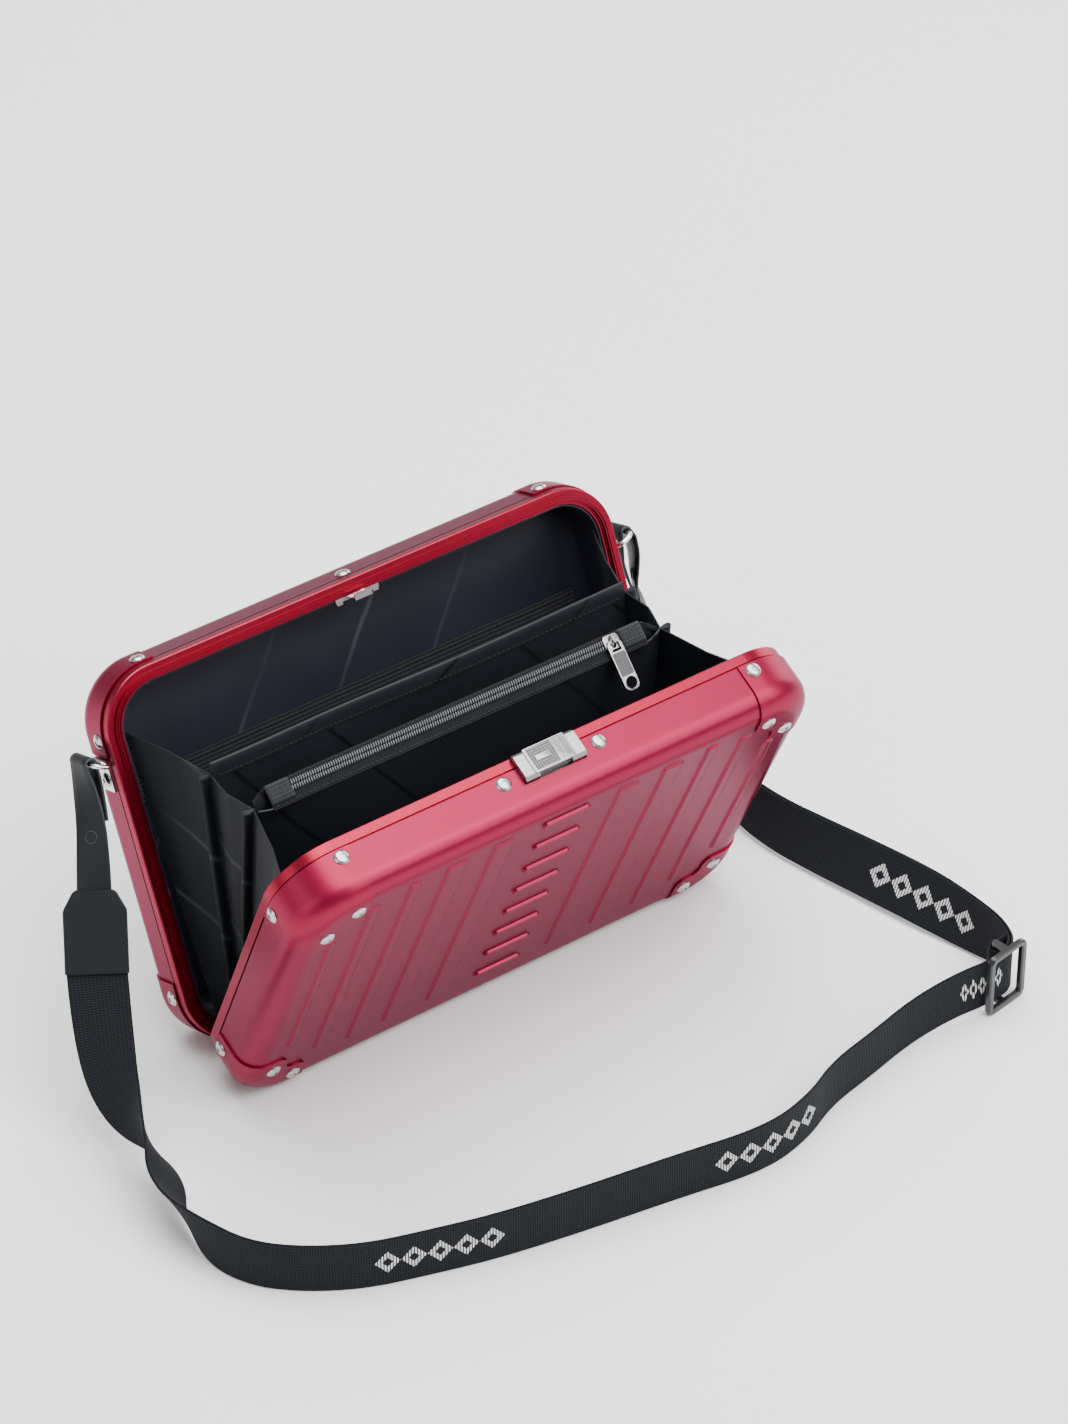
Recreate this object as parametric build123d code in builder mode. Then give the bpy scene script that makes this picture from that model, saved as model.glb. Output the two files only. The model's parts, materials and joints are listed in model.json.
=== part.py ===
from build123d import *
import os
from math import cos, radians, sin

os.makedirs("parts", exist_ok=True)

# Case body: two equal half shells hinged along their long lower edge, in millimetres.
# The origin is on the surface the case stands on, under the hinge line.
CASE_WIDTH = 300.0
PANEL_HEIGHT = 200.0
HALF_DEPTH = 32.0
CORNER_RADIUS = 30.0
FACE_ROUNDING = 12.0
SHELL_WALL = 1.2
HALF_OPENING = 23.6
FIT_GAP = 0.3

# Rim frame of each half, seen from its joint face
RIM_FACE = FIT_GAP / 2
RIM_DEPTH = 5.5
RIM_WIDTH = 8.0
FLANGE_START = SHELL_WALL + 0.1
FLANGE_WALL = 1.7
FLANGE_DEPTH = 16.0
BAND_START = 6.5
TONGUE_START, TONGUE_END, TONGUE_HEIGHT = 3.8, 5.6, 1.5
TONGUE_SLOT_HALF, TONGUE_SLOT_DEPTH = 0.3, 0.6
GROOVE_START, GROOVE_END, GROOVE_DEPTH = 3.4, 6.0, 2.0
RIM_ROUNDING = 0.8
LIP_START, LIP_END, LIP_DEPTH = 6.4, 7.1, 0.7

# Corner pieces and rivets
CORNER_SKIN = 1.0
EAR_LONG, EAR_LONG_DEEP = 37.0, 25.0
EAR_SHORT_DEEP, EAR_SHORT = 24.0, 39.0
EAR_ROUNDING, EAR_OVERHANG = 6.0, 5.0
RIVET_ALONG = 30.6
RIVET_IN = 16.25
RIVET_BAND = 11.0
RIVET_HEAD, RIVET_RISE, RIVET_SHANK = 3.9, 1.6, 1.6
RIVET_HOLE = 1.7
RIVET_TAIL, RIVET_TAIL_RISE = 2.7, 1.2
RIVET_DIMPLE, DIMPLE_DEPTH, HEAD_EDGE = 0.32, 0.5, 0.3
DOME_ACROSS, DOME_UP = 0.72, 0.78
CASE_RIVET_X = 27.6

# Pressed ornament on both faces
DASH_LENGTH, DASH_WIDTH, DASH_RISE = 28.0, 4.6, 1.3
DASH_FIRST, DASH_STEP, DASH_COUNT = 29.0, 21.9, 8
DASH_TAPER = 25
RIB_RISE, RIB_ROUNDING, RIB_TAPER = 1.0, 2.5, 62
RIB_SPANS = [
    (29.5, 43.0, 24.0, 185.0),
    (56.5, 69.5, 24.0, 185.0),
    (82.5, 90.5, 24.0, 185.0),
    (104.0, 112.0, 31.5, 179.0),
    (125.0, 131.0, 50.0, 161.0),
]

# Lining trays, back pocket with its elastic edge
LINING_INSET = RIM_WIDTH + FIT_GAP
LINING_WALL = 0.8
LINING_START = 1.0
LINING_DEPTH = 29.2
LINING_ROUNDING = 7.0
FLAT_MARGIN = 3.0
POCKET_SHEET_LOW, POCKET_SHEET_TOP, POCKET_SHEET_ROUNDING = 22.0, 128.0, 6.0
ELASTIC_LOW, ELASTIC_HIGH, ELASTIC_WALL = 126.0, 139.0, 1.4
SHEET_GAP = 0.1

# Hinge along the lower edge
BARREL_RADIUS, PIN_RADIUS, PIN_PLAY = 2.4, 1.2, 0.05
HINGE_HALF, KNUCKLES, KNUCKLE_GAP = 112.0, 15, 0.3
LEAF_WALL, LEAF_DEPTH = 1.0, 14.0
HINGE_RELIEF = BARREL_RADIUS + FIT_GAP
HINGE_RIVETS_X = [-96.0, -58.0, -20.0, 20.0, 58.0, 96.0]
HINGE_HEAD, HINGE_HEAD_RISE = 2.5, 0.9
PIN_HEAD_RADIUS, PIN_HEAD_LENGTH, HINGE_END_GAP = 2.0, 0.8, 1.4

# Latch on the front half and its catch on the back half
WELL_HALF, WELL_FLOOR, WELL_DEPTH = 17.8, 196.2, 15.8
LATCH_HALF, LEVER_HALF, LATCH_TOP = 17.5, 9.2, 204.0
LATCH_PIN_V, LATCH_PIN_U, LATCH_PIN_RADIUS = 199.0, 12.5, 0.9
LATCH_NEAR, LATCH_FAR = 0.5, 15.4
LATCH_PLATE_NEAR, LATCH_PLATE_LOW, LATCH_PLATE_HIGH, LATCH_PLATE_END = 7.0, 195.6, 196.8, 5.4
LATCH_GRIP = 1.4
CHEEK_LOW, CHEEK_DROP, CHEEK_BEVEL = 196.5, 0.4, 1.6
LEVER_LOW, LEVER_FAR, LEVER_BEVEL, LEVER_BARREL = 200.4, 14.1, 1.2, 1.9
CLAW_NEAR, CLAW_FAR, CLAW_LOW, CLAW_HIGH = 2.4, 4.2, 191.8, 200.5
CATCH_HALF, FINGER_HALF, FINGER_SLOT_HALF = 12.75, 5.0, 6.5
CATCH_NEAR, CATCH_FAR, CATCH_LOW, CATCH_HIGH = 0.6, 4.8, 189.9, 191.9
FINGER_START, FINGER_FACE, FINGER_TIP, FINGER_TOP, HOOK_TOP = 1.0, -4.8, -5.9, 191.1, 193.2
GUIDE_NEAR, GUIDE_FAR, GUIDE_LOW, GUIDE_HIGH, GUIDE_IN, GUIDE_HALF = 0.8, 3.4, 188.4, 191.0, 2.2, 1.7
CATCH_NOTCH, NOTCH_MARGIN = 7.0, 1.0

# Strap brackets and rings on both ends of the back half
RING_V, RING_U, RING_SPAN, RING_REACH = 158.2, 14.5, 26.0, 8.5
RING_WIRE, RING_TILT, RING_ROUNDING = 1.25, 25.0, 2.6
BRACKET_LOW, BRACKET_HALF, BRACKET_WALL, BRACKET_U = 143.0, 5.3, 1.2, 13.5
BRACKET_RIVET_V = 149.1

# Divider and zip pocket hung between the halves
DIVIDER_TILT, DIVIDER_HALF, DIVIDER_TOP = 7.5, 122.0, 163.0
POCKET_TILT, POCKET_HALF, POCKET_TOP = -5.0, 119.0, 158.0
PANEL_LOW = 12.0
SHEET_WALL = 0.9
POCKET_THICK, POCKET_FRONT_DROP, POCKET_OPEN_ABOVE = 7.0, 6.0, 5.0
GUSSET_TOP, GUSSET_LOW, GUSSET_WALL, GUSSET_FLAP = 156.0, 14.0, 0.8, 6.0
GUSSET_EDGE_X, GUSSET_EDGE_LOW_X, GUSSET_EDGE_U, GUSSET_GAP = 139.6, 134.0, 3.0, 1.5
ZIP_V, ZIP_SLOPE = 161.5, 40.0
ZIP_LEFT, ZIP_RIGHT, COIL_LEFT, COIL_RIGHT = -112.0, 108.0, -99.0, 94.0
COIL_ROW, COIL_GAP, COIL_RISE = 2.2, 1.0, 1.0
END_PATCH, PATCH_DEPTH, PATCH_RISE, PATCH_IN, PATCH_Y = 12.5, 9.6, 1.3, 0.3, -0.5
SLIDER_X = 89.0
POST_LENGTH, POST_SINK = 4.0, 0.4
PULL_LENGTH, PULL_WIDTH, PULL_WALL, PULL_SLOPE, PULL_ROUNDING = 27.0, 8.6, 1.2, 45.0, 2.2

# Shoulder strap
STRAP_WIDTH, STRAP_WALL = 30.0, 1.5
LEATHER_WIDTH, LEATHER_WALL = 17.0, 1.5
LOOP_BAR, LOOP_REACH, LOOP_HEIGHT = 1.6, 9.0, 35.6
LOOP_ROUNDING, LOOP_INNER_ROUNDING, LOOP_FLATNESS, LOOP_BEVEL = 2.5, 0.8, 0.8, 0.5
TRIGLIDE_LENGTH, TRIGLIDE_HEIGHT, TRIGLIDE_BAR = 27.0, 37.6, 3.6
TRIGLIDE_ROUNDING, TRIGLIDE_INNER_ROUNDING, TRIGLIDE_BEVEL, TRIGLIDE_EASE = 4.5, 1.6, 0.7, 0.8
STUD_RADIUS, STUD_WALL, STUD_DOWN, STUD_OUT = 3.0, 1.6, 4.0, 1.3

OPEN = radians(HALF_OPENING)
HINGE_HEIGHT = (FACE_ROUNDING + CORNER_SKIN
                + (HALF_DEPTH - FACE_ROUNDING) * sin(OPEN) - FACE_ROUNDING * cos(OPEN))


def leaf_plane(tilt):
    """Upright plane through the hinge line, tilted backwards by tilt degrees, facing forwards."""
    lean = radians(tilt)
    return Plane(origin=(0, 0, HINGE_HEIGHT), x_dir=(1, 0, 0), z_dir=(0, -cos(lean), sin(lean)))


# In each half's frame x runs along the hinge, y up the panel and z outwards from the joint face.
FRONT = leaf_plane(-HALF_OPENING)
BACK = Plane(origin=(0, 0, HINGE_HEIGHT), x_dir=(-1, 0, 0), z_dir=(0, cos(OPEN), -sin(OPEN)))


def at(half, x, v, u):
    """Point of a half given along the hinge, up the panel and out from the joint face."""
    return half.from_local_coords((x, v, u))


def outward(half):
    """Axis that sorts faces from the joint face outwards."""
    return Axis(half.origin, half.z_dir)


def panel_outline(inset, mode=Mode.ADD):
    """Rounded outline of a half, drawn inside the current sketch."""
    with Locations((0, PANEL_HEIGHT / 2)):
        RectangleRounded(CASE_WIDTH - 2 * inset, PANEL_HEIGHT - 2 * inset, CORNER_RADIUS - inset, mode=mode)


def rounded_body(half, grow):
    """Solid outer form of a half, grown outwards on its face and edges."""
    with BuildPart() as body:
        with BuildSketch(half.offset(BAND_START)):
            panel_outline(-grow)
        extrude(amount=HALF_DEPTH + grow - BAND_START)
        fillet(body.faces().sort_by(outward(half))[-1].edges(), FACE_ROUNDING + grow)
    return body.part


def save(part, name):
    """Label a finished piece and write it."""
    part.label = name
    export_step(part, f"parts/{name}.step")
    print(f"{name:24s} solids {len(part.solids())} volume {part.volume:10.1f}")


# Rivet places: each plane sits on the outer surface and faces outwards
def corner_rivets(half):
    """Two face rivets and two band rivets for each of the four corner pieces."""
    face_rivets = []
    band_rivets = []
    skin = CORNER_SKIN
    for side in (-1, 1):
        for level, away in ((0.0, 1), (PANEL_HEIGHT, -1)):
            edge = side * CASE_WIDTH / 2
            near, far = RIVET_IN, RIVET_ALONG
            for along, up in ((far, near), (near, far)):
                spot = at(half, edge - side * along, level + away * up, HALF_DEPTH + skin)
                face_rivets.append(Plane(origin=spot, x_dir=half.x_dir, z_dir=half.z_dir))
            spot = at(half, edge - side * far, level - away * skin, RIVET_BAND)
            band_rivets.append(Plane(origin=spot, x_dir=half.x_dir, z_dir=half.y_dir * -away))
            spot = at(half, edge + side * skin, level + away * far, RIVET_BAND)
            band_rivets.append(Plane(origin=spot, x_dir=half.y_dir, z_dir=half.x_dir * side))
    return face_rivets, band_rivets


def top_rivet(half, x):
    """Rivet through the plain top band."""
    return Plane(origin=at(half, x, PANEL_HEIGHT, RIVET_BAND), x_dir=half.x_dir, z_dir=half.y_dir)


def hinge_rivet(half, x):
    """Rivet up through a hinge leaf under the lower band."""
    return Plane(origin=at(half, x, -LEAF_WALL, RIVET_BAND), x_dir=half.x_dir, z_dir=-half.y_dir)


def bracket_rivet(side):
    """Rivet through a strap bracket on the end of the back half."""
    spot = at(BACK, side * (CASE_WIDTH / 2 + BRACKET_WALL), BRACKET_RIVET_V, BRACKET_U)
    return Plane(origin=spot, x_dir=BACK.y_dir, z_dir=BACK.x_dir * side)


def rivet(grip, head=RIVET_HEAD, rise=RIVET_RISE):
    """Blind rivet: domed head with a hollow, shank and a wider tail beyond the grip."""
    dimple = head * RIVET_DIMPLE
    with BuildPart() as piece:
        with BuildSketch(Plane.XZ):
            with BuildLine():
                Polyline(
                    (dimple, rise),
                    (dimple, rise - DIMPLE_DEPTH),
                    (0, rise - DIMPLE_DEPTH),
                    (0, -grip - RIVET_TAIL_RISE),
                    (RIVET_TAIL, -grip - RIVET_TAIL_RISE),
                    (RIVET_TAIL, -grip),
                    (RIVET_SHANK, -grip),
                    (RIVET_SHANK, 0),
                    (head, 0),
                    (head, HEAD_EDGE),
                )
                ThreePointArc((head, HEAD_EDGE), (head * DOME_ACROSS, rise * DOME_UP), (dimple, rise))
            make_face()
        revolve(axis=Axis.Z)
    return piece.part


def drilled(body, places, depth):
    """Body with a rivet hole at each place, drilled inwards to the given depth."""
    with BuildPart() as piece:
        add(body)
        with Locations(*places):
            Cylinder(RIVET_HOLE, 2 * depth, mode=Mode.SUBTRACT)
    return piece.part


FRONT_FACE_RIVETS, FRONT_BAND_RIVETS = corner_rivets(FRONT)
BACK_FACE_RIVETS, BACK_BAND_RIVETS = corner_rivets(BACK)
LATCH_RIVETS = [top_rivet(FRONT, x) for x in (-CASE_RIVET_X, CASE_RIVET_X)]
CATCH_RIVET = top_rivet(BACK, 0)
BRACKET_RIVETS = [bracket_rivet(side) for side in (-1, 1)]
CORNER_GRIP = CORNER_SKIN + SHELL_WALL
BAND_GRIP = FLANGE_START + FLANGE_WALL
CURVE_PLAY = 0.15
DRILL_DEPTH = 8.0


# Pressed shells
def make_shell(half, name, places):
    with BuildPart() as shell:
        add(rounded_body(half, 0))
        offset(amount=-SHELL_WALL, openings=shell.faces().sort_by(outward(half))[0])
        with BuildSketch(half.offset(HALF_DEPTH)):
            for count in range(DASH_COUNT):
                with Locations((0, DASH_FIRST + DASH_STEP * count)):
                    SlotOverall(DASH_LENGTH, DASH_WIDTH)
        extrude(amount=DASH_RISE, taper=DASH_TAPER)
        with BuildSketch(half.offset(HALF_DEPTH)):
            for near, far, low, high in RIB_SPANS:
                for side in (-1, 1):
                    with Locations((side * (near + far) / 2, (low + high) / 2)):
                        RectangleRounded(far - near, high - low, RIB_ROUNDING)
        extrude(amount=RIB_RISE, taper=RIB_TAPER)
        with Locations(*places):
            Cylinder(RIVET_HOLE, 2 * DRILL_DEPTH, mode=Mode.SUBTRACT)
        if half is FRONT:
            with BuildSketch(half):
                with Locations((0, PANEL_HEIGHT)):
                    Rectangle(2 * WELL_HALF, 2 * (PANEL_HEIGHT - WELL_FLOOR))
            extrude(amount=WELL_DEPTH, mode=Mode.SUBTRACT)
    save(shell.part, name)


FRONT_HINGE_RIVETS = [hinge_rivet(FRONT, x) for x in HINGE_RIVETS_X]
BACK_HINGE_RIVETS = [hinge_rivet(BACK, x) for x in HINGE_RIVETS_X]
make_shell(FRONT, "front_shell",
           FRONT_FACE_RIVETS + FRONT_BAND_RIVETS + LATCH_RIVETS + FRONT_HINGE_RIVETS)
make_shell(BACK, "back_shell",
           BACK_FACE_RIVETS + BACK_BAND_RIVETS + [CATCH_RIVET] + BRACKET_RIVETS + BACK_HINGE_RIVETS)


# Rim frames with a joint face and a riveted inner flange
def frame_face(plane, outer, inner):
    """Face on the plane between two insets of the panel outline."""
    with BuildSketch(plane) as face:
        panel_outline(outer)
        panel_outline(inner, mode=Mode.SUBTRACT)
    return face.sketch


def make_rim(half, name, places):
    with BuildPart() as rim:
        extrude(frame_face(half.offset(RIM_FACE), 0, RIM_WIDTH), amount=RIM_DEPTH - RIM_FACE)
        fillet(rim.faces().sort_by(outward(half))[0].outer_wire().edges(), RIM_ROUNDING)
        extrude(frame_face(half.offset(RIM_DEPTH), FLANGE_START, FLANGE_START + FLANGE_WALL),
                amount=FLANGE_DEPTH - RIM_DEPTH)
        extrude(frame_face(half.offset(RIM_FACE), LIP_START, LIP_END), amount=LIP_DEPTH, mode=Mode.SUBTRACT)
        if half is BACK:
            extrude(frame_face(half.offset(RIM_FACE), TONGUE_START, TONGUE_END), amount=-TONGUE_HEIGHT)
            middle = (TONGUE_START + TONGUE_END) / 2
            slot = frame_face(half.offset(RIM_FACE - TONGUE_HEIGHT), middle - TONGUE_SLOT_HALF,
                              middle + TONGUE_SLOT_HALF)
            extrude(slot, amount=TONGUE_SLOT_DEPTH, mode=Mode.SUBTRACT)
        else:
            extrude(frame_face(half.offset(RIM_FACE), GROOVE_START, GROOVE_END),
                    amount=GROOVE_DEPTH, mode=Mode.SUBTRACT)
        with Locations(Location(half.origin, (0, 90, 0))):
            Cylinder(HINGE_RELIEF, 2 * (HINGE_HALF + HINGE_END_GAP), mode=Mode.SUBTRACT)
        with Locations(*places):
            Cylinder(RIVET_HOLE, 2 * DRILL_DEPTH, mode=Mode.SUBTRACT)
        if half is FRONT:
            with BuildSketch(half):
                with Locations((0, PANEL_HEIGHT)):
                    Rectangle(2 * WELL_HALF, 2 * (PANEL_HEIGHT - WELL_FLOOR))
            extrude(amount=FLANGE_DEPTH + 1, mode=Mode.SUBTRACT)
            with BuildSketch(half):
                with Locations((0, PANEL_HEIGHT)):
                    Rectangle(2 * FINGER_SLOT_HALF, 4 * RIM_WIDTH)
            extrude(amount=RIM_DEPTH, mode=Mode.SUBTRACT)
    save(rim.part, name)


make_rim(FRONT, "front_rim", FRONT_BAND_RIVETS + LATCH_RIVETS + FRONT_HINGE_RIVETS)
make_rim(BACK, "back_rim", BACK_BAND_RIVETS + [CATCH_RIVET] + BRACKET_RIVETS + BACK_HINGE_RIVETS)


# Cast corner pieces
def make_corner(half, side, top, name):
    away = -1 if top else 1
    edge = side * CASE_WIDTH / 2
    level = PANEL_HEIGHT if top else 0
    beyond = -EAR_OVERHANG
    ear = [
        (beyond, beyond),
        (EAR_LONG, beyond),
        (EAR_LONG, EAR_LONG_DEEP),
        (EAR_SHORT_DEEP, EAR_LONG_DEEP),
        (EAR_SHORT_DEEP, EAR_SHORT),
        (beyond, EAR_SHORT),
    ]
    face_rivets, band_rivets = corner_rivets(half)
    with BuildPart() as corner:
        add(rounded_body(half, CORNER_SKIN))
        add(rounded_body(half, 0), mode=Mode.SUBTRACT)
        with BuildSketch(half) as region:
            with BuildLine():
                Polyline(*[(edge - side * along, level + away * up) for along, up in ear], close=True)
            make_face()
            fillet(region.vertices().sort_by_distance((0, PANEL_HEIGHT / 2))[:3], EAR_ROUNDING)
        extrude(amount=HALF_DEPTH + 2 * CORNER_SKIN, mode=Mode.INTERSECT)
        with Locations(*face_rivets, *band_rivets):
            Cylinder(RIVET_HOLE, 2 * DRILL_DEPTH, mode=Mode.SUBTRACT)
    save(corner.part, name)


for half, word in ((FRONT, "front"), (BACK, "back")):
    for side, hand in ((-1, "left"), (1, "right")):
        for top, level in ((True, "top"), (False, "bottom")):
            local_side = side if half is FRONT else -side
            make_corner(half, local_side, top, f"{word}_corner_{level}_{hand}")


# Rivets, one group of equal pieces for each half
def make_rivets(name, groups):
    with BuildPart() as rivets:
        for places, piece in groups:
            with Locations(*places):
                add(piece)
    save(rivets.part, name)


make_rivets("front_rivets", [
    (FRONT_FACE_RIVETS, rivet(CORNER_GRIP)),
    (FRONT_BAND_RIVETS, rivet(CORNER_SKIN + BAND_GRIP + CURVE_PLAY)),
    (LATCH_RIVETS, rivet(BAND_GRIP + LATCH_GRIP)),
])
make_rivets("back_rivets", [
    (BACK_FACE_RIVETS, rivet(CORNER_GRIP)),
    (BACK_BAND_RIVETS, rivet(CORNER_SKIN + BAND_GRIP + CURVE_PLAY)),
    ([CATCH_RIVET], rivet(BAND_GRIP)),
    (BRACKET_RIVETS, rivet(BAND_GRIP + BRACKET_WALL)),
])
make_rivets("front_hinge_rivets", [(FRONT_HINGE_RIVETS, rivet(LEAF_WALL + BAND_GRIP, HINGE_HEAD, HINGE_HEAD_RISE))])
make_rivets("back_hinge_rivets", [(BACK_HINGE_RIVETS, rivet(LEAF_WALL + BAND_GRIP, HINGE_HEAD, HINGE_HEAD_RISE))])


# Lining trays
def make_lining(half, name):
    with BuildPart() as lining:
        with BuildSketch(half.offset(LINING_START)):
            panel_outline(LINING_INSET)
        extrude(amount=LINING_DEPTH - LINING_START)
        fillet(lining.faces().sort_by(outward(half))[-1].edges(), LINING_ROUNDING)
        offset(amount=-LINING_WALL, openings=lining.faces().sort_by(outward(half))[0])
        with BuildSketch(half):
            with Locations((0, PANEL_HEIGHT - RIM_WIDTH)):
                Rectangle(2 * (CATCH_HALF + NOTCH_MARGIN), CATCH_NOTCH)
        extrude(amount=CATCH_NOTCH, mode=Mode.SUBTRACT)
    save(lining.part, name)


make_lining(FRONT, "front_lining")
make_lining(BACK, "back_lining")

FLAT_HALF = CASE_WIDTH / 2 - LINING_INSET - LINING_ROUNDING - FLAT_MARGIN
SHEET_FACE = LINING_DEPTH - LINING_WALL - FIT_GAP
with BuildPart() as back_pocket:
    with BuildSketch(BACK.offset(SHEET_FACE)):
        with Locations((0, (POCKET_SHEET_TOP + POCKET_SHEET_LOW) / 2)):
            RectangleRounded(2 * FLAT_HALF, POCKET_SHEET_TOP - POCKET_SHEET_LOW, POCKET_SHEET_ROUNDING)
    extrude(amount=-SHEET_WALL)
save(back_pocket.part, "back_pocket")

with BuildPart() as elastic_band:
    with BuildSketch(BACK.offset(SHEET_FACE - SHEET_WALL - SHEET_GAP)):
        with Locations((0, (ELASTIC_LOW + ELASTIC_HIGH) / 2)):
            Rectangle(2 * FLAT_HALF, ELASTIC_HIGH - ELASTIC_LOW)
    extrude(amount=-ELASTIC_WALL)
save(elastic_band.part, "elastic_band")


# Hinge: two leaves with alternate knuckles round one pin
PITCH = 2 * HINGE_HALF / KNUCKLES


def knuckle_centres(first):
    """Middles of every second knuckle along the hinge."""
    return [-HINGE_HALF + PITCH * (count + 0.5) for count in range(first, KNUCKLES, 2)]


def make_leaf(half, first, bore, places, name):
    own = [x if half is FRONT else -x for x in knuckle_centres(first)]
    other = [x if half is FRONT else -x for x in knuckle_centres(1 - first)]
    with BuildPart() as leaf:
        with BuildSketch(half):
            with Locations((0, -LEAF_WALL / 2)):
                Rectangle(2 * HINGE_HALF, LEAF_WALL)
        extrude(amount=LEAF_DEPTH)
        with Locations(*[Location(at(half, x, 0, 0), (0, 90, 0)) for x in own]):
            Cylinder(BARREL_RADIUS, PITCH - KNUCKLE_GAP)
        with Locations(*[Location(at(half, x, 0, 0), (0, 90, 0)) for x in other]):
            Cylinder(HINGE_RELIEF, PITCH + 0.001, mode=Mode.SUBTRACT)
        with Locations(Location(half.origin, (0, 90, 0))):
            Cylinder(bore, 2 * HINGE_HALF + 2, mode=Mode.SUBTRACT)
        with Locations(*places):
            Cylinder(RIVET_HOLE, 2 * DRILL_DEPTH, mode=Mode.SUBTRACT)
    save(leaf.part, name)


make_leaf(FRONT, 1, PIN_RADIUS + PIN_PLAY, FRONT_HINGE_RIVETS, "front_hinge_leaf")
make_leaf(BACK, 0, PIN_RADIUS, BACK_HINGE_RIVETS, "back_hinge_leaf")

with BuildPart() as hinge_pin:
    with Locations(Location((0, 0, HINGE_HEIGHT), (0, 90, 0))):
        Cylinder(PIN_RADIUS, 2 * HINGE_HALF)
    for side in (-1, 1):
        with Locations(Location((side * (HINGE_HALF + PIN_HEAD_LENGTH / 2), 0, HINGE_HEIGHT), (0, 90, 0))):
            Cylinder(PIN_HEAD_RADIUS, PIN_HEAD_LENGTH)
save(hinge_pin.part, "hinge_pin")


# Latch: base with two bevelled cheeks, sprung lever, pin
def side_face(half, x, outline):
    """Face square to the hinge direction from a closed outline of (u, v) points."""
    with BuildSketch(Plane(origin=at(half, x, 0, 0), x_dir=half.z_dir, z_dir=half.x_dir * -1)) as face:
        with BuildLine():
            Polyline(*outline, close=True)
        make_face()
    return face.sketch


def block(near, far, low, high):
    """Outline of a rectangle given by its u and v limits."""
    return [(near, low), (near, high), (far, high), (far, low)]


CHEEK = LATCH_HALF - LEVER_HALF - FIT_GAP
CHEEK_TOP = LATCH_TOP - CHEEK_DROP
PIN_PLACE = Location(at(FRONT, 0, LATCH_PIN_V, LATCH_PIN_U), (0, 90, 0))
with BuildPart() as latch_base:
    plate = block(LATCH_PLATE_NEAR, FLANGE_DEPTH, LATCH_PLATE_LOW, LATCH_PLATE_HIGH)
    extrude(side_face(FRONT, 0, plate), amount=CASE_RIVET_X + LATCH_PLATE_END, both=True)
    for side in (-1, 1):
        cheek = [
            (LATCH_PLATE_NEAR, LATCH_PLATE_HIGH),
            (LATCH_PLATE_NEAR, CHEEK_LOW),
            (LATCH_NEAR, CHEEK_LOW),
            (LATCH_NEAR, CHEEK_TOP - CHEEK_BEVEL),
            (LATCH_NEAR + CHEEK_BEVEL, CHEEK_TOP),
            (LATCH_FAR - CHEEK_BEVEL, CHEEK_TOP),
            (LATCH_FAR, CHEEK_TOP - CHEEK_BEVEL),
            (LATCH_FAR, LATCH_PLATE_HIGH),
        ]
        extrude(side_face(FRONT, side * (LEVER_HALF + FIT_GAP + CHEEK / 2), cheek), amount=CHEEK / 2, both=True)
    with Locations(PIN_PLACE):
        Cylinder(LATCH_PIN_RADIUS, 2 * LATCH_HALF + 2, mode=Mode.SUBTRACT)
    with Locations(*LATCH_RIVETS):
        Cylinder(RIVET_HOLE, 2 * DRILL_DEPTH, mode=Mode.SUBTRACT)
save(latch_base.part, "latch_base")

with BuildPart() as latch_lever:
    lever = [
        (LATCH_NEAR, LEVER_LOW),
        (LATCH_NEAR, LATCH_TOP - LEVER_BEVEL),
        (LATCH_NEAR + LEVER_BEVEL, LATCH_TOP),
        (LEVER_FAR - LEVER_BEVEL, LATCH_TOP),
        (LEVER_FAR, LATCH_TOP - LEVER_BEVEL),
        (LEVER_FAR, LEVER_LOW),
    ]
    extrude(side_face(FRONT, 0, lever), amount=LEVER_HALF, both=True)
    with Locations(PIN_PLACE):
        Cylinder(LEVER_BARREL, 2 * LEVER_HALF)
    extrude(side_face(FRONT, 0, block(CLAW_NEAR, CLAW_FAR, CLAW_LOW, CLAW_HIGH)), amount=FINGER_HALF, both=True)
    with Locations(PIN_PLACE):
        Cylinder(LATCH_PIN_RADIUS + PIN_PLAY, 2 * LEVER_HALF + 1, mode=Mode.SUBTRACT)
save(latch_lever.part, "latch_lever")

with BuildPart() as latch_pin:
    with Locations(PIN_PLACE):
        Cylinder(LATCH_PIN_RADIUS, 2 * LATCH_HALF)
save(latch_pin.part, "latch_pin")

with BuildPart() as catch:
    extrude(side_face(BACK, 0, block(CATCH_NEAR, CATCH_FAR, CATCH_LOW, CATCH_HIGH)), amount=CATCH_HALF, both=True)
    finger = [
        (FINGER_START, CATCH_LOW),
        (FINGER_START, FINGER_TOP),
        (FINGER_FACE, FINGER_TOP),
        (FINGER_FACE, HOOK_TOP),
        (FINGER_TIP, HOOK_TOP),
        (FINGER_TIP, CATCH_LOW),
    ]
    extrude(side_face(BACK, 0, finger), amount=FINGER_HALF, both=True)
    for side in (-1, 1):
        guide = block(GUIDE_NEAR, GUIDE_FAR, GUIDE_LOW, GUIDE_HIGH)
        extrude(side_face(BACK, side * (CATCH_HALF - GUIDE_IN), guide), amount=GUIDE_HALF, both=True)
save(catch.part, "catch")


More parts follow.
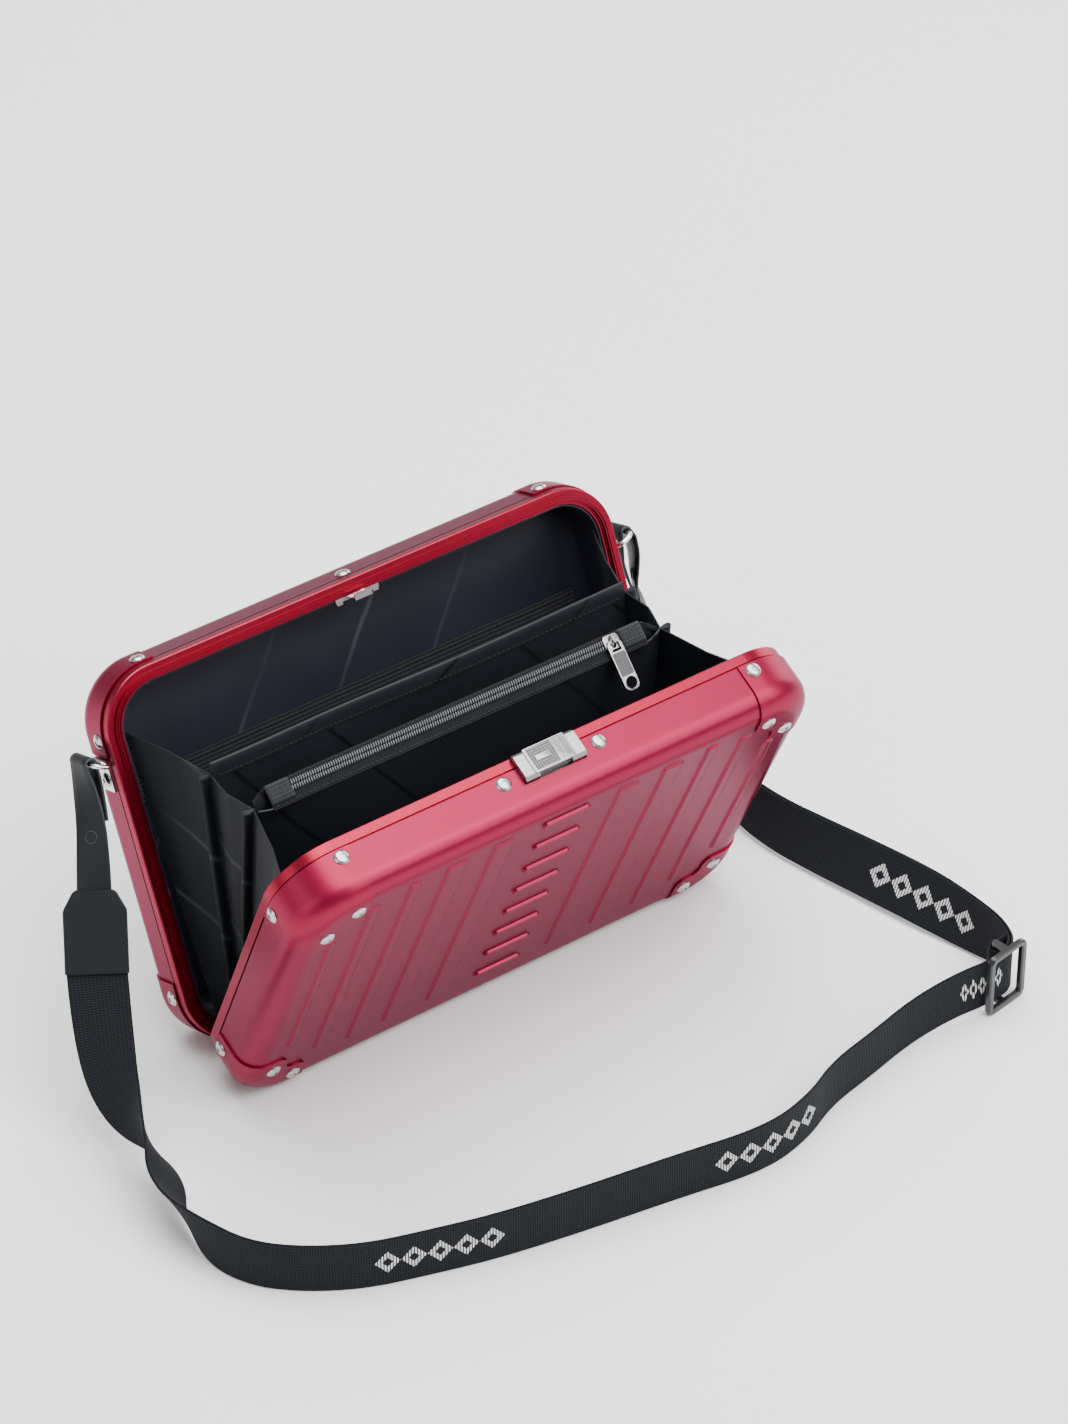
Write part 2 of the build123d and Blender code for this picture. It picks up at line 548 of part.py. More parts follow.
# Strap brackets with rolled eyes, and their rings
def make_bracket(side, name):
    local = -side
    surface = local * CASE_WIDTH / 2
    eye_x = local * (CASE_WIDTH / 2 + RING_WIRE + BRACKET_WALL)
    with BuildPart() as bracket:
        with BuildSketch(Plane(origin=at(BACK, surface, 0, BRACKET_U), x_dir=BACK.y_dir,
                               z_dir=BACK.x_dir * local)):
            with Locations(((BRACKET_LOW + RING_V) / 2, 0)):
                Rectangle(RING_V - BRACKET_LOW, 2 * BRACKET_HALF)
        extrude(amount=BRACKET_WALL)
        eye = Plane(origin=at(BACK, eye_x, RING_V, BRACKET_U), z_dir=BACK.z_dir)
        with Locations(eye):
            Cylinder(RING_WIRE + BRACKET_WALL - PIN_PLAY, 2 * BRACKET_HALF)
            Cylinder(RING_WIRE + 2 * PIN_PLAY, 4 * BRACKET_HALF, mode=Mode.SUBTRACT)
        with Locations(*BRACKET_RIVETS):
            Cylinder(RIVET_HOLE, 2 * DRILL_DEPTH, mode=Mode.SUBTRACT)
    save(bracket.part, name)


def ring_frame(side):
    """Frame of a ring: x outwards and up from its bar in the bracket, y along the bar."""
    local = -side
    eye_x = local * (CASE_WIDTH / 2 + RING_WIRE + BRACKET_WALL)
    tilt = radians(RING_TILT)
    reach = BACK.x_dir * local * cos(tilt) + BACK.y_dir * sin(tilt)
    return Plane(origin=at(BACK, eye_x, RING_V, RING_U), x_dir=reach, z_dir=reach.cross(BACK.z_dir))


def rounded_loop(frame, reach, span, rounding):
    """Closed rounded wire whose near bar passes through the frame's origin."""
    with BuildSketch(frame) as flat:
        with Locations((reach / 2, 0)):
            RectangleRounded(reach, span, rounding)
    return flat.sketch.face().outer_wire()


def make_ring(side, name):
    loop = rounded_loop(ring_frame(side), RING_REACH, RING_SPAN, RING_ROUNDING)
    with BuildPart() as wire_ring:
        with BuildSketch(Plane(origin=loop @ 0, z_dir=loop % 0)):
            Circle(RING_WIRE)
        sweep(path=loop)
    save(wire_ring.part, name)


make_bracket(-1, "bracket_left")
make_bracket(1, "bracket_right")
make_ring(-1, "ring_left")
make_ring(1, "ring_right")


# Divider, zip pocket and folded gussets
with BuildPart() as divider:
    with BuildSketch(leaf_plane(DIVIDER_TILT).offset(-SHEET_WALL / 2)):
        with Locations((0, (PANEL_LOW + DIVIDER_TOP) / 2)):
            Rectangle(2 * DIVIDER_HALF, DIVIDER_TOP - PANEL_LOW)
    extrude(amount=SHEET_WALL)
save(divider.part, "divider")

POCKET_PLANE = leaf_plane(POCKET_TILT)
POCKET_FRONT_TOP = POCKET_TOP - POCKET_FRONT_DROP
with BuildPart() as zip_pocket:
    with BuildSketch(POCKET_PLANE.offset(-SHEET_WALL)):
        with Locations((0, (PANEL_LOW + POCKET_TOP) / 2)):
            Rectangle(2 * POCKET_HALF, POCKET_TOP - PANEL_LOW)
    extrude(amount=POCKET_THICK)
    with BuildSketch(POCKET_PLANE):
        with Locations((0, (PANEL_LOW + SHEET_WALL + POCKET_TOP + POCKET_OPEN_ABOVE) / 2)):
            Rectangle(2 * (POCKET_HALF - SHEET_WALL), POCKET_TOP + POCKET_OPEN_ABOVE - PANEL_LOW - SHEET_WALL)
    extrude(amount=POCKET_THICK - 2 * SHEET_WALL, mode=Mode.SUBTRACT)
    with BuildSketch(POCKET_PLANE):
        with Locations((0, POCKET_TOP)):
            Rectangle(2 * POCKET_HALF + 2, 2 * (POCKET_TOP - POCKET_FRONT_TOP))
    extrude(amount=POCKET_THICK, mode=Mode.SUBTRACT)
save(zip_pocket.part, "zip_pocket")

SLOPE = radians(ZIP_SLOPE)
ZIP_ORIGIN = POCKET_PLANE.from_local_coords((0, ZIP_V, 0))
ZIP_PLANE = Plane(origin=ZIP_ORIGIN, x_dir=(1, 0, 0), z_dir=(0, -sin(SLOPE), cos(SLOPE)))
TAPE_WALL, TAPE_FRONT, TAPE_BACK = 0.7, 8.0, 5.0
ROW_OUT = COIL_GAP / 2 + COIL_ROW

with BuildPart() as zip_tape:
    with BuildSketch(ZIP_PLANE.offset(-TAPE_WALL / 2)):
        for near, far in ((COIL_GAP / 2, TAPE_BACK), (-COIL_GAP / 2, -TAPE_FRONT)):
            with Locations(((ZIP_LEFT + ZIP_RIGHT) / 2, (near + far) / 2)):
                Rectangle(ZIP_RIGHT - ZIP_LEFT, abs(far - near))
    extrude(amount=TAPE_WALL)
save(zip_tape.part, "zip_tape")

with BuildPart() as zip_coil:
    with BuildSketch(ZIP_PLANE.offset(TAPE_WALL / 2)):
        for side in (-1, 1):
            with Locations(((COIL_LEFT + COIL_RIGHT) / 2, side * (COIL_GAP + COIL_ROW) / 2)):
                Rectangle(COIL_RIGHT - COIL_LEFT, COIL_ROW)
    extrude(amount=COIL_RISE)
save(zip_coil.part, "zip_coil")

with BuildPart() as zip_ends:
    for middle in (ZIP_LEFT + END_PATCH / 2 + PATCH_IN, ZIP_RIGHT - END_PATCH / 2 - PATCH_IN):
        with BuildSketch(ZIP_PLANE.offset(TAPE_WALL / 2)):
            with Locations((middle, PATCH_Y)):
                Rectangle(END_PATCH, PATCH_DEPTH)
        extrude(amount=PATCH_RISE)
save(zip_ends.part, "zip_ends")

SLIDER_LENGTH, SLIDER_WIDTH, SLIDER_PLATE, SLIDER_PLAY = 9.0, 8.0, 0.9, 0.15
SLIDER_ROOF = TAPE_WALL / 2 + COIL_RISE + SLIDER_PLAY
SLIDER_FLOOR = -TAPE_WALL / 2 - SLIDER_PLAY
BRIDGE_RISE, BRIDGE_LENGTH, BRIDGE_WALL, BRIDGE_SINK = 3.4, 7.0, 2.0, 0.1
EYE_RISE, EYE_LENGTH = 2.0, 4.4
SLIDER_TOP = SLIDER_ROOF + SLIDER_PLATE
with BuildPart() as zip_slider:
    with Locations(Plane(origin=ZIP_PLANE.from_local_coords((SLIDER_X, 0, 0)), x_dir=(1, 0, 0),
                         z_dir=ZIP_PLANE.z_dir)):
        for low in (SLIDER_ROOF, SLIDER_FLOOR - SLIDER_PLATE):
            with Locations((0, 0, low + SLIDER_PLATE / 2)):
                Box(SLIDER_LENGTH, SLIDER_WIDTH, SLIDER_PLATE)
        with Locations((0, 0, (SLIDER_ROOF + SLIDER_FLOOR) / 2)):
            Box(POST_LENGTH, COIL_GAP - 2 * SLIDER_PLAY, SLIDER_ROOF - SLIDER_FLOOR + POST_SINK)
        with Locations((0, 0, SLIDER_TOP + BRIDGE_RISE / 2 - BRIDGE_SINK)):
            Box(BRIDGE_WALL, BRIDGE_LENGTH, BRIDGE_RISE + 2 * BRIDGE_SINK)
        with Locations((0, 0, SLIDER_TOP + EYE_RISE / 2)):
            Box(BRIDGE_WALL + 1, EYE_LENGTH, EYE_RISE, mode=Mode.SUBTRACT)
save(zip_slider.part, "zip_slider")

PULL_FALL = radians(PULL_SLOPE)
PULL_PLANE = Plane(origin=ZIP_PLANE.from_local_coords((SLIDER_X, 0, SLIDER_TOP + EYE_RISE / 2)),
                   x_dir=(1, 0, 0), z_dir=(0, -sin(PULL_FALL), cos(PULL_FALL)))
PULL_BAR, PULL_WINDOW, WINDOW_LENGTH, PULL_HOLE = 0.7, 5.0, 4.8, 5.6
with BuildPart() as zip_pull:
    with BuildSketch(PULL_PLANE.offset(-PULL_WALL / 2)):
        with Locations((0, PULL_BAR - PULL_LENGTH / 2)):
            RectangleRounded(PULL_WIDTH, PULL_LENGTH, PULL_ROUNDING)
        with Locations((0, -PULL_BAR - WINDOW_LENGTH / 2)):
            Rectangle(PULL_WINDOW, WINDOW_LENGTH, mode=Mode.SUBTRACT)
        with Locations((0, PULL_BAR - PULL_LENGTH + PULL_WIDTH / 2)):
            Circle(PULL_HOLE / 2, mode=Mode.SUBTRACT)
    extrude(amount=PULL_WALL)
    with Locations(Location(PULL_PLANE.origin, (0, 90, 0))):
        Cylinder(PULL_BAR, PULL_WIDTH - 2)
save(zip_pull.part, "zip_pull")


def gusset_outline(side, height):
    """Plan outline of a folded gusset at a height above the hinge line, with its two seam flaps."""
    share = (height - GUSSET_LOW) / (GUSSET_TOP - GUSSET_LOW)
    edge = GUSSET_EDGE_LOW_X + (GUSSET_EDGE_X - GUSSET_EDGE_LOW_X) * share
    panel = (height + GUSSET_EDGE_U * sin(OPEN)) / cos(OPEN)
    reach = panel * sin(OPEN) + GUSSET_EDGE_U * cos(OPEN)
    pocket_y = height * sin(radians(POCKET_TILT)) / cos(radians(POCKET_TILT))
    divider_y = height * sin(radians(DIVIDER_TILT)) / cos(radians(DIVIDER_TILT))
    pocket_x = POCKET_HALF + GUSSET_GAP
    divider_x = DIVIDER_HALF + GUSSET_GAP
    wall = GUSSET_WALL
    outline = [(edge, -reach), (pocket_x, pocket_y), (divider_x, divider_y), (edge, reach), (edge + wall, reach)]
    for fold_x, fold_y in ((divider_x, divider_y), (pocket_x, pocket_y)):
        outline += [
            (fold_x + wall, fold_y + wall / 2),
            (fold_x + GUSSET_FLAP, fold_y + wall / 2),
            (fold_x + GUSSET_FLAP, fold_y - wall / 2),
            (fold_x + wall, fold_y - wall / 2),
        ]
    outline.append((edge + wall, -reach))
    return [(side * x, y) for x, y in outline]


for side, name in ((-1, "gusset_left"), (1, "gusset_right")):
    with BuildPart() as gusset:
        for height in (GUSSET_LOW, GUSSET_TOP):
            with BuildSketch(Plane.XY.offset(HINGE_HEIGHT + height)):
                with BuildLine():
                    Polyline(*gusset_outline(side, height), close=True)
                make_face()
        loft(ruled=True)
    save(gusset.part, name)


# Shoulder strap: every stretch is a flat band through a list of cross sections
ARC_SHARE = 0.45


def ribbon(name, centres, across, wall, start=None, finish=None):
    """Flat band; each cross section lies square to the way the band runs there, or to a given end direction."""
    last = len(centres) - 1
    with BuildPart() as band:
        for index, centre in enumerate(centres):
            ahead = (centres[min(index + 1, last)] - centres[max(index - 1, 0)]).normalized()
            if index == 0 and start:
                ahead = start
            if index == last and finish:
                ahead = finish
            wide = across[index] - ahead * across[index].dot(ahead)
            with BuildSketch(Plane(origin=centre, x_dir=wide, z_dir=ahead)):
                Rectangle(across[index].length, wall)
        loft(ruled=True)
    save(band.part, name)


def bend_radii(route):
    """Arc radii that a route's corners allow, so that two arcs share each run."""
    radii = []
    for before, corner, after in zip(route, route[1:], route[2:]):
        turn = radians((corner - before).get_angle(after - corner))
        shorter = min((corner - before).length, (after - corner).length)
        radii.append(ARC_SHARE * shorter * cos(turn / 2) / sin(turn / 2))
    return radii


def turned(centre, ahead, out, radius, start, stop, count):
    """Stations round a bar: angles run from the way ahead (0) to the outer side (90 degrees)."""
    angles = [radians(start + (stop - start) * step / (count - 1)) for step in range(count)]
    return [centre + (ahead * cos(angle) + out * sin(angle)) * radius for angle in angles]


def vectors(triples):
    """List of vectors from a list of three numbers each."""
    return [Vector(*triple) for triple in triples]


# Route of the long webbing on the surface: middle of its width, from the left end piece to the ring
STRAP_ROUTE = vectors([
    (-192.0, 22.0, 72.0),
    (-204.0, -1.0, 50.0),
    (-212.0, -27.0, 35.0),
    (-210.5, -57.0, 26.0),
    (-214.5, -72.5, 21.7),
    (-219.5, -88.0, 17.5),
    (-218.5, -115.0, 15.2),
    (-209.0, -139.0, 15.2),
    (-190.0, -157.0, 15.2),
    (-165.0, -172.0, 15.2),
    (-136.0, -181.5, 15.2),
    (-103.0, -191.5, 15.2),
    (-58.0, -200.5, 15.2),
    (-12.0, -208.0, 15.2),
    (36.0, -217.5, 15.2),
    (66.0, -212.0, 15.2),
    (90.0, -200.0, 15.2),
    (118.0, -194.5, 15.2),
    (148.0, -187.5, 15.5),
    (176.0, -187.0, 17.5),
    (198.0, -190.5, 19.0),
    (215.0, -187.5, 19.0),
    (222.0, -169.0, 17.8),
    (219.5, -146.0, 15.2),
    (213.0, -117.0, 15.2),
    (203.0, -83.0, 15.2),
    (194.0, -55.0, 15.5),
    (185.5, -28.0, 16.5),
    (183.0, -4.0, 17.8),
    (186.2, 14.0, 18.8),
])
ROUTE_ACROSS = vectors([
    (24.6, -17.1, 0.0),
    (24.0, -15.0, 9.0),
    (16.0, -7.0, 24.5),
    (-13.6, -5.9, 26.1),
    (-21.9, -3.5, 20.2),
    (-13.6, -5.9, 26.1),
] + [(0.0, 0.0, 30.0)] * 17 + [
    (8.0, 0.0, 28.9),
    (17.0, 0.0, 24.7),
    (16.0, 0.0, 25.4),
    (13.0, 0.0, 27.0),
    (9.0, 0.0, 28.6),
    (4.0, 0.0, 29.7),
    (0.0, 0.0, 30.0),
])
STATION_STEP = 5.5
PARTING_RUN, SHARE_GAP = 45.0, 0.002
PLY_STEP = STRAP_WALL + 0.4
BAR_PLAY = 0.6
TAB_PLAY = 0.8
HEM = 12.0

radii = bend_radii(STRAP_ROUTE)
print("strap arc radii", [round(radius) for radius in radii])
with BuildLine() as route:
    FilletPolyline(*STRAP_ROUTE, radius=radii)
path = route.wires()[0]
runs = [(after - before).length for before, after in zip(STRAP_ROUTE, STRAP_ROUTE[1:])]
corner_shares = [sum(runs[:index]) / sum(runs) for index in range(len(STRAP_ROUTE))]


def across_at(share):
    """Width direction of the webbing, blended between the route's corners."""
    index = max(place for place in range(len(runs)) if corner_shares[place] <= share)
    within = (share - corner_shares[index]) / (corner_shares[index + 1] - corner_shares[index])
    return ROUTE_ACROSS[index] * (1 - within) + ROUTE_ACROSS[index + 1] * within


def beside(share, distance):
    """Point beside the webbing's middle line, outwards from the case when distance is positive."""
    return path @ share + (path % share).cross(across_at(share)).normalized() * distance


def share_near(spot):
    """Share of the route nearest to a spot."""
    return min([step / 1000 for step in range(1001)], key=lambda share: (path @ share - spot).length)


# Leather end pieces, wider towards the webbing
LEFT_END = vectors([(-179.0, 42.5, 105.0), (-182.6, 37.0, 96.2), (-192.0, 22.0, 72.0)])
RIGHT_END = vectors([(170.8, 77.0, 106.0), (173.2, 75.0, 96.0), (178.0, 71.0, 78.0), (181.0, 66.0, 60.0)])
LEFT_WIDE = Vector(0.82, -0.57, 0)
RIGHT_WIDE = Vector(0.50, 0.86, -0.05)
TAB_END_WALL = 4.2
END_NARROW, END_WIDE = 20.5, 31.5
ribbon("strap_end_left", LEFT_END, [LEFT_WIDE * END_NARROW, LEFT_WIDE * END_WIDE, LEFT_WIDE * END_WIDE],
       TAB_END_WALL)
ribbon("strap_end_right", RIGHT_END, [RIGHT_WIDE * END_NARROW] + [RIGHT_WIDE * END_WIDE] * 3, TAB_END_WALL)


def heading(route, index):
    """Unit direction of one run of a route."""
    return (route[index + 1] - route[index]).normalized()


# The webbing turns round the near bar of the strap loop and comes back to the adjuster
ahead = heading(STRAP_ROUTE, len(STRAP_ROUTE) - 2)
upright = Vector(0, 0, 1)
out = ahead.cross(upright).normalized()
bar_line = out.cross(ahead).normalized()
turn_radius = LOOP_BAR + BAR_PLAY + STRAP_WALL / 2
near_bar = STRAP_ROUTE[-1] - out * turn_radius
far_bar = near_bar + ahead * LOOP_REACH
count = round(path.length / STATION_STEP)
main_shares = [step / count for step in range(count + 1)]
turn = turned(near_bar, ahead, out, turn_radius, 60, -90, 6)
ribbon("strap_webbing",
       [path @ share for share in main_shares] + turn,
       [across_at(share) for share in main_shares] + [bar_line * STRAP_WIDTH] * len(turn),
       STRAP_WALL, start=heading(LEFT_END, 1), finish=-ahead)

ADJUSTER_SPOT = Vector(205, -189.3, 19)
adjuster_share = share_near(ADJUSTER_SPOT)
adjuster_ahead = path % adjuster_share
adjuster_out = adjuster_ahead.cross(upright).normalized()
bar_radius = TRIGLIDE_BAR / 2
centre_bar = beside(adjuster_share, -(PLY_STEP + STRAP_WALL / 2 + BAR_PLAY + bar_radius))
hem_radius = bar_radius + BAR_PLAY + STRAP_WALL / 2
hem_turn = turned(centre_bar, -adjuster_ahead, adjuster_out, hem_radius, 90, -90, 9)
return_shares = [share for share in reversed(main_shares) if share > adjuster_share + SHARE_GAP]
parting = 2 * turn_radius - PLY_STEP
returning = []
for share in return_shares:
    nearness = max(0.0, 1 - (1 - share) * path.length / PARTING_RUN)
    returning.append(beside(share, -PLY_STEP - parting * nearness ** 2))
ribbon("strap_return",
       returning + hem_turn + [hem_turn[-1] + adjuster_ahead * HEM],
       [across_at(share) for share in return_shares] + [upright * STRAP_WIDTH] * (len(hem_turn) + 1),
       STRAP_WALL, start=-ahead)

# Short lead from the far bar up to the right end piece
lead_turn = turned(far_bar, -ahead, out, turn_radius, -90, 90, 9)
LEAD_ROUTE = vectors([
    (188.6, 33.0, 21.5),
    (188.6, 43.0, 27.5),
    (186.8, 52.5, 37.5),
    (184.2, 59.5, 48.5),
    (181.0, 66.0, 60.0),
])
LEAD_ACROSS = vectors([(0, -9, 28.6), (-1, -17, 24.7), (-5, -23, 18.6), (-11, -25, 12.3), (-15, -25.9, 1.5)])
ribbon("strap_lead",
       [lead_turn[0] + ahead * HEM] + lead_turn + LEAD_ROUTE,
       [bar_line * STRAP_WIDTH] * (len(lead_turn) + 1) + LEAD_ACROSS,
       STRAP_WALL, finish=-heading(RIGHT_END, 2))

loop_middle = near_bar + ahead * LOOP_REACH / 2
with BuildPart() as strap_loop:
    with BuildSketch(Plane(origin=loop_middle, x_dir=ahead, z_dir=out)):
        RectangleRounded(LOOP_REACH + 2 * LOOP_BAR, LOOP_HEIGHT, LOOP_ROUNDING)
        RectangleRounded(LOOP_REACH - 2 * LOOP_BAR, LOOP_HEIGHT - 2 * LOOP_BAR, LOOP_INNER_ROUNDING,
                         mode=Mode.SUBTRACT)
    extrude(amount=LOOP_BAR * LOOP_FLATNESS, both=True)
    chamfer(strap_loop.faces().filter_by(Axis((0, 0, 0), out)).edges(), LOOP_BEVEL)
save(strap_loop.part, "strap_loop")

with BuildPart() as strap_adjuster:
    face_middle = beside(adjuster_share, STRAP_WALL / 2 + FIT_GAP + bar_radius)
    with BuildSketch(Plane(origin=face_middle, x_dir=adjuster_ahead, z_dir=adjuster_out)):
        RectangleRounded(TRIGLIDE_LENGTH, TRIGLIDE_HEIGHT, TRIGLIDE_ROUNDING)
        RectangleRounded(TRIGLIDE_LENGTH - 2 * TRIGLIDE_BAR, TRIGLIDE_HEIGHT - 2 * TRIGLIDE_BAR + TRIGLIDE_EASE,
                         TRIGLIDE_INNER_ROUNDING, mode=Mode.SUBTRACT)
    extrude(amount=bar_radius, both=True)
    chamfer(strap_adjuster.faces().filter_by(Axis((0, 0, 0), adjuster_out)).edges(), TRIGLIDE_BEVEL)
    with Locations(centre_bar):
        Cylinder(bar_radius, TRIGLIDE_HEIGHT - 1)
    link_depth = (face_middle - centre_bar).length
    with Locations(Plane(origin=(face_middle + centre_bar) / 2, x_dir=adjuster_ahead, z_dir=upright)):
        for level in (-1, 1):
            with Locations((0, 0, level * (TRIGLIDE_HEIGHT / 2 - bar_radius / 2 - 0.5))):
                Box(TRIGLIDE_BAR, link_depth, bar_radius)
save(strap_adjuster.part, "strap_adjuster")

# Leather tabs folded over the case rings and sewn into the end pieces
LEFT_TAB = vectors([
    (-164.0, 72.0, 143.0),
    (-168.0, 60.5, 130.0),
    (-173.5, 51.0, 117.5),
    (-179.0, 42.5, 105.0),
])
RIGHT_TAB = vectors([
    (166.0, 78.0, 148.0),
    (169.3, 78.0, 138.0),
    (170.3, 78.0, 127.0),
    (170.0, 77.8, 116.0),
    (170.8, 77.0, 106.0),
])


def tab_stations(side, outer, wide_end, gaps):
    """Leather from its sewn end behind the outer ply, up, over the ring's bar and down the outer ply."""
    frame = ring_frame(side)
    bar = frame.from_local_coords((RING_REACH, 0, 0))
    away = BACK.x_dir * -side
    wrap = RING_WIRE + TAB_PLAY + LEATHER_WALL / 2
    over = turned(bar, away, BACK.y_dir, wrap, 180, 0, 9)
    wide_start = BACK.z_dir * side
    outer_ply = [over[-1]] + outer
    steps = len(outer_ply) - 1
    outer_across = [wide_start * (1 - step / steps) + wide_end * (step / steps) for step in range(steps + 1)]
    outer_across = [wide.normalized() * LEATHER_WIDTH for wide in outer_across]
    inner_ply = []
    for step in range(1, len(gaps) + 1):
        run = outer_ply[min(step + 1, steps)] - outer_ply[step - 1]
        inner_ply.append(outer_ply[step] - run.cross(outer_across[step]).normalized() * gaps[step - 1])
    inner_across = outer_across[1:len(gaps) + 1]
    centres = inner_ply[::-1] + over + outer
    across = inner_across[::-1] + [wide_start * LEATHER_WIDTH] * len(over) + outer_across[1:]
    return centres, across


left_centres, left_across = tab_stations(-1, LEFT_TAB, LEFT_WIDE, [4.6, 2.6])
right_centres, right_across = tab_stations(1, RIGHT_TAB, RIGHT_WIDE, [9.0, 9.8, 7.0, 2.6])
ribbon("strap_tab_left", left_centres, left_across, LEATHER_WALL, finish=heading(LEFT_END, 0))
ribbon("strap_tab_right", right_centres, right_across, LEATHER_WALL, finish=heading(RIGHT_END, 0))

with BuildPart() as strap_studs:
    for centres, across in ((left_centres, left_across), (right_centres, right_across)):
        run = centres[0] - centres[1]
        inwards = -run.cross(across[0]).normalized()
        spot = centres[0] - run.normalized() * STUD_DOWN + inwards * (LEATHER_WALL / 2 + STUD_OUT)
        with Locations(Plane(origin=spot, z_dir=inwards)):
            Cylinder(STUD_RADIUS, STUD_WALL)
save(strap_studs.part, "strap_studs")

print("webbing length", round(path.length, 1), "expected volume", round(path.length * STRAP_WIDTH * STRAP_WALL))
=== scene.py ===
import json
from math import asin, cos, pi, radians, sin

import bmesh
import bpy
from mathutils import Matrix, Vector, noise


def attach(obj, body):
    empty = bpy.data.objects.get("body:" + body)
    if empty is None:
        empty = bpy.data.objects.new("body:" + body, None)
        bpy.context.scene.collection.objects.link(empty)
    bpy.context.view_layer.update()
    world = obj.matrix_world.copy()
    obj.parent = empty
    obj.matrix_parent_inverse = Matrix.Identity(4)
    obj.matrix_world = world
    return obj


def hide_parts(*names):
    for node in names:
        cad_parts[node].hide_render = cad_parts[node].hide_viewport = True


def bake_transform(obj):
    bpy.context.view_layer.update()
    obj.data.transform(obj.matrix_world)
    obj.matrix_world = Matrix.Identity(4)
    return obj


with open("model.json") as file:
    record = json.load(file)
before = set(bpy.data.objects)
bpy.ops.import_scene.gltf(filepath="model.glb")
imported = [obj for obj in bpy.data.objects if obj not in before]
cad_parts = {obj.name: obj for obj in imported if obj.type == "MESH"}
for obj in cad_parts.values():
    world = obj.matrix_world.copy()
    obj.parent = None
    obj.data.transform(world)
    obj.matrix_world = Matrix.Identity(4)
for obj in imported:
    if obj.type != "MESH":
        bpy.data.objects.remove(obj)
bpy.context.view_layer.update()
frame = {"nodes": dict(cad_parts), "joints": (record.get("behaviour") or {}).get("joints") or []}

# Sizes are written in millimetres where the name says so, and places in metres
MM = 0.001
joints = {joint["name"]: joint for joint in frame["joints"]}
HINGE = Vector(joints["lid_hinge"]["pos_m"])
OPEN = radians(joints["lid_hinge"]["range_deg"][1]) / 2

CASE_WIDTH, PANEL_HEIGHT, CORNER_RADIUS = 300 * MM, 200 * MM, 30 * MM
DIVIDER_TILT, DIVIDER_HALF, DIVIDER_TOP = radians(7.5), 122 * MM, 163 * MM
POCKET_TILT, POCKET_HALF, POCKET_TOP, POCKET_DEPTH = radians(-5), 119 * MM, 158 * MM, 6.1 * MM
PANEL_LOW = 12 * MM
CLOTH = 0.7 * MM


# The photograph's view
VIEW_FROM = Vector((-1.07235, -1.62550, 1.75230))
VIEW_ALONG = Vector((0.44045, 0.63641, -0.63324))
VIEW_UP = Vector((0.36787, 0.51547, 0.77392))
FOCAL_LENGTH = 129.9
FILM_LONG_SIDE = 36.0


def make_camera():
    data = bpy.data.cameras.new("view")
    data.lens = FOCAL_LENGTH
    data.sensor_width = FILM_LONG_SIDE
    camera = bpy.data.objects.new("view", data)
    bpy.context.scene.collection.objects.link(camera)
    right = VIEW_ALONG.cross(VIEW_UP).normalized()
    up = right.cross(VIEW_ALONG).normalized()
    turn = Matrix((right, up, -VIEW_ALONG.normalized())).transposed()
    camera.matrix_world = Matrix.Translation(VIEW_FROM) @ turn.to_4x4()
    bpy.context.scene.camera = camera


def soft_light(name, place, aim, size, power):
    """Softbox, wide and deep by its size, that faces a point."""
    data = bpy.data.lights.new(name, "AREA")
    data.shape = "RECTANGLE"
    data.size, data.size_y = size
    data.energy = power
    light = bpy.data.objects.new(name, data)
    bpy.context.scene.collection.objects.link(light)
    light.location = place
    light.rotation_euler = (Vector(aim) - Vector(place)).to_track_quat("-Z", "Y").to_euler()


def make_studio():
    world = bpy.data.worlds.new("studio")
    world.use_nodes = True
    world.node_tree.nodes["Background"].inputs["Color"].default_value = (1, 1, 1, 1)
    world.node_tree.nodes["Background"].inputs["Strength"].default_value = 0.42
    bpy.context.scene.world = world
    middle = (0, 0, 0.1)
    soft_light("overhead", (0.2, 0.0, 2.3), middle, (4.2, 2.0), 165)
    soft_light("front_right", (1.1, -1.7, 1.5), middle, (1.7, 1.7), 40)
    soft_light("right", (2.3, 0.8, 0.8), middle, (1.8, 1.6), 42)
    soft_light("left", (-2.3, -0.3, 1.0), middle, (1.8, 1.4), 16)


# Shader expressions
class Wire:
    """Output of a node; Python's operators on it add Math nodes."""

    def __init__(self, paint, socket):
        self.paint = paint
        self.socket = socket

    def math(self, operation, other=None, third=None, turned=False):
        first, second = (other, self) if turned else (self, other)
        sockets = {0: first}
        if second is not None:
            sockets[1] = second
        if third is not None:
            sockets[2] = third
        return self.paint.node("ShaderNodeMath", {"operation": operation}, sockets)

    def __add__(self, other):
        return self.math("ADD", other)

    __radd__ = __add__

    def __mul__(self, other):
        return self.math("MULTIPLY", other)

    __rmul__ = __mul__

    def __sub__(self, other):
        return self.math("SUBTRACT", other)

    def __rsub__(self, other):
        return self.math("SUBTRACT", other, turned=True)

    def __truediv__(self, other):
        return self.math("DIVIDE", other)

    def __gt__(self, other):
        return self.math("GREATER_THAN", other)

    def __lt__(self, other):
        return self.math("LESS_THAN", other)

    def wave(self):
        """Sine that runs from 0 to 1 once for each whole step of the value."""
        return (self * (2 * pi)).math("SINE") * 0.5 + 0.5

    def part(self):
        """Part of the value after its whole steps."""
        return self.math("FRACT")

    def size(self):
        return self.math("ABSOLUTE")


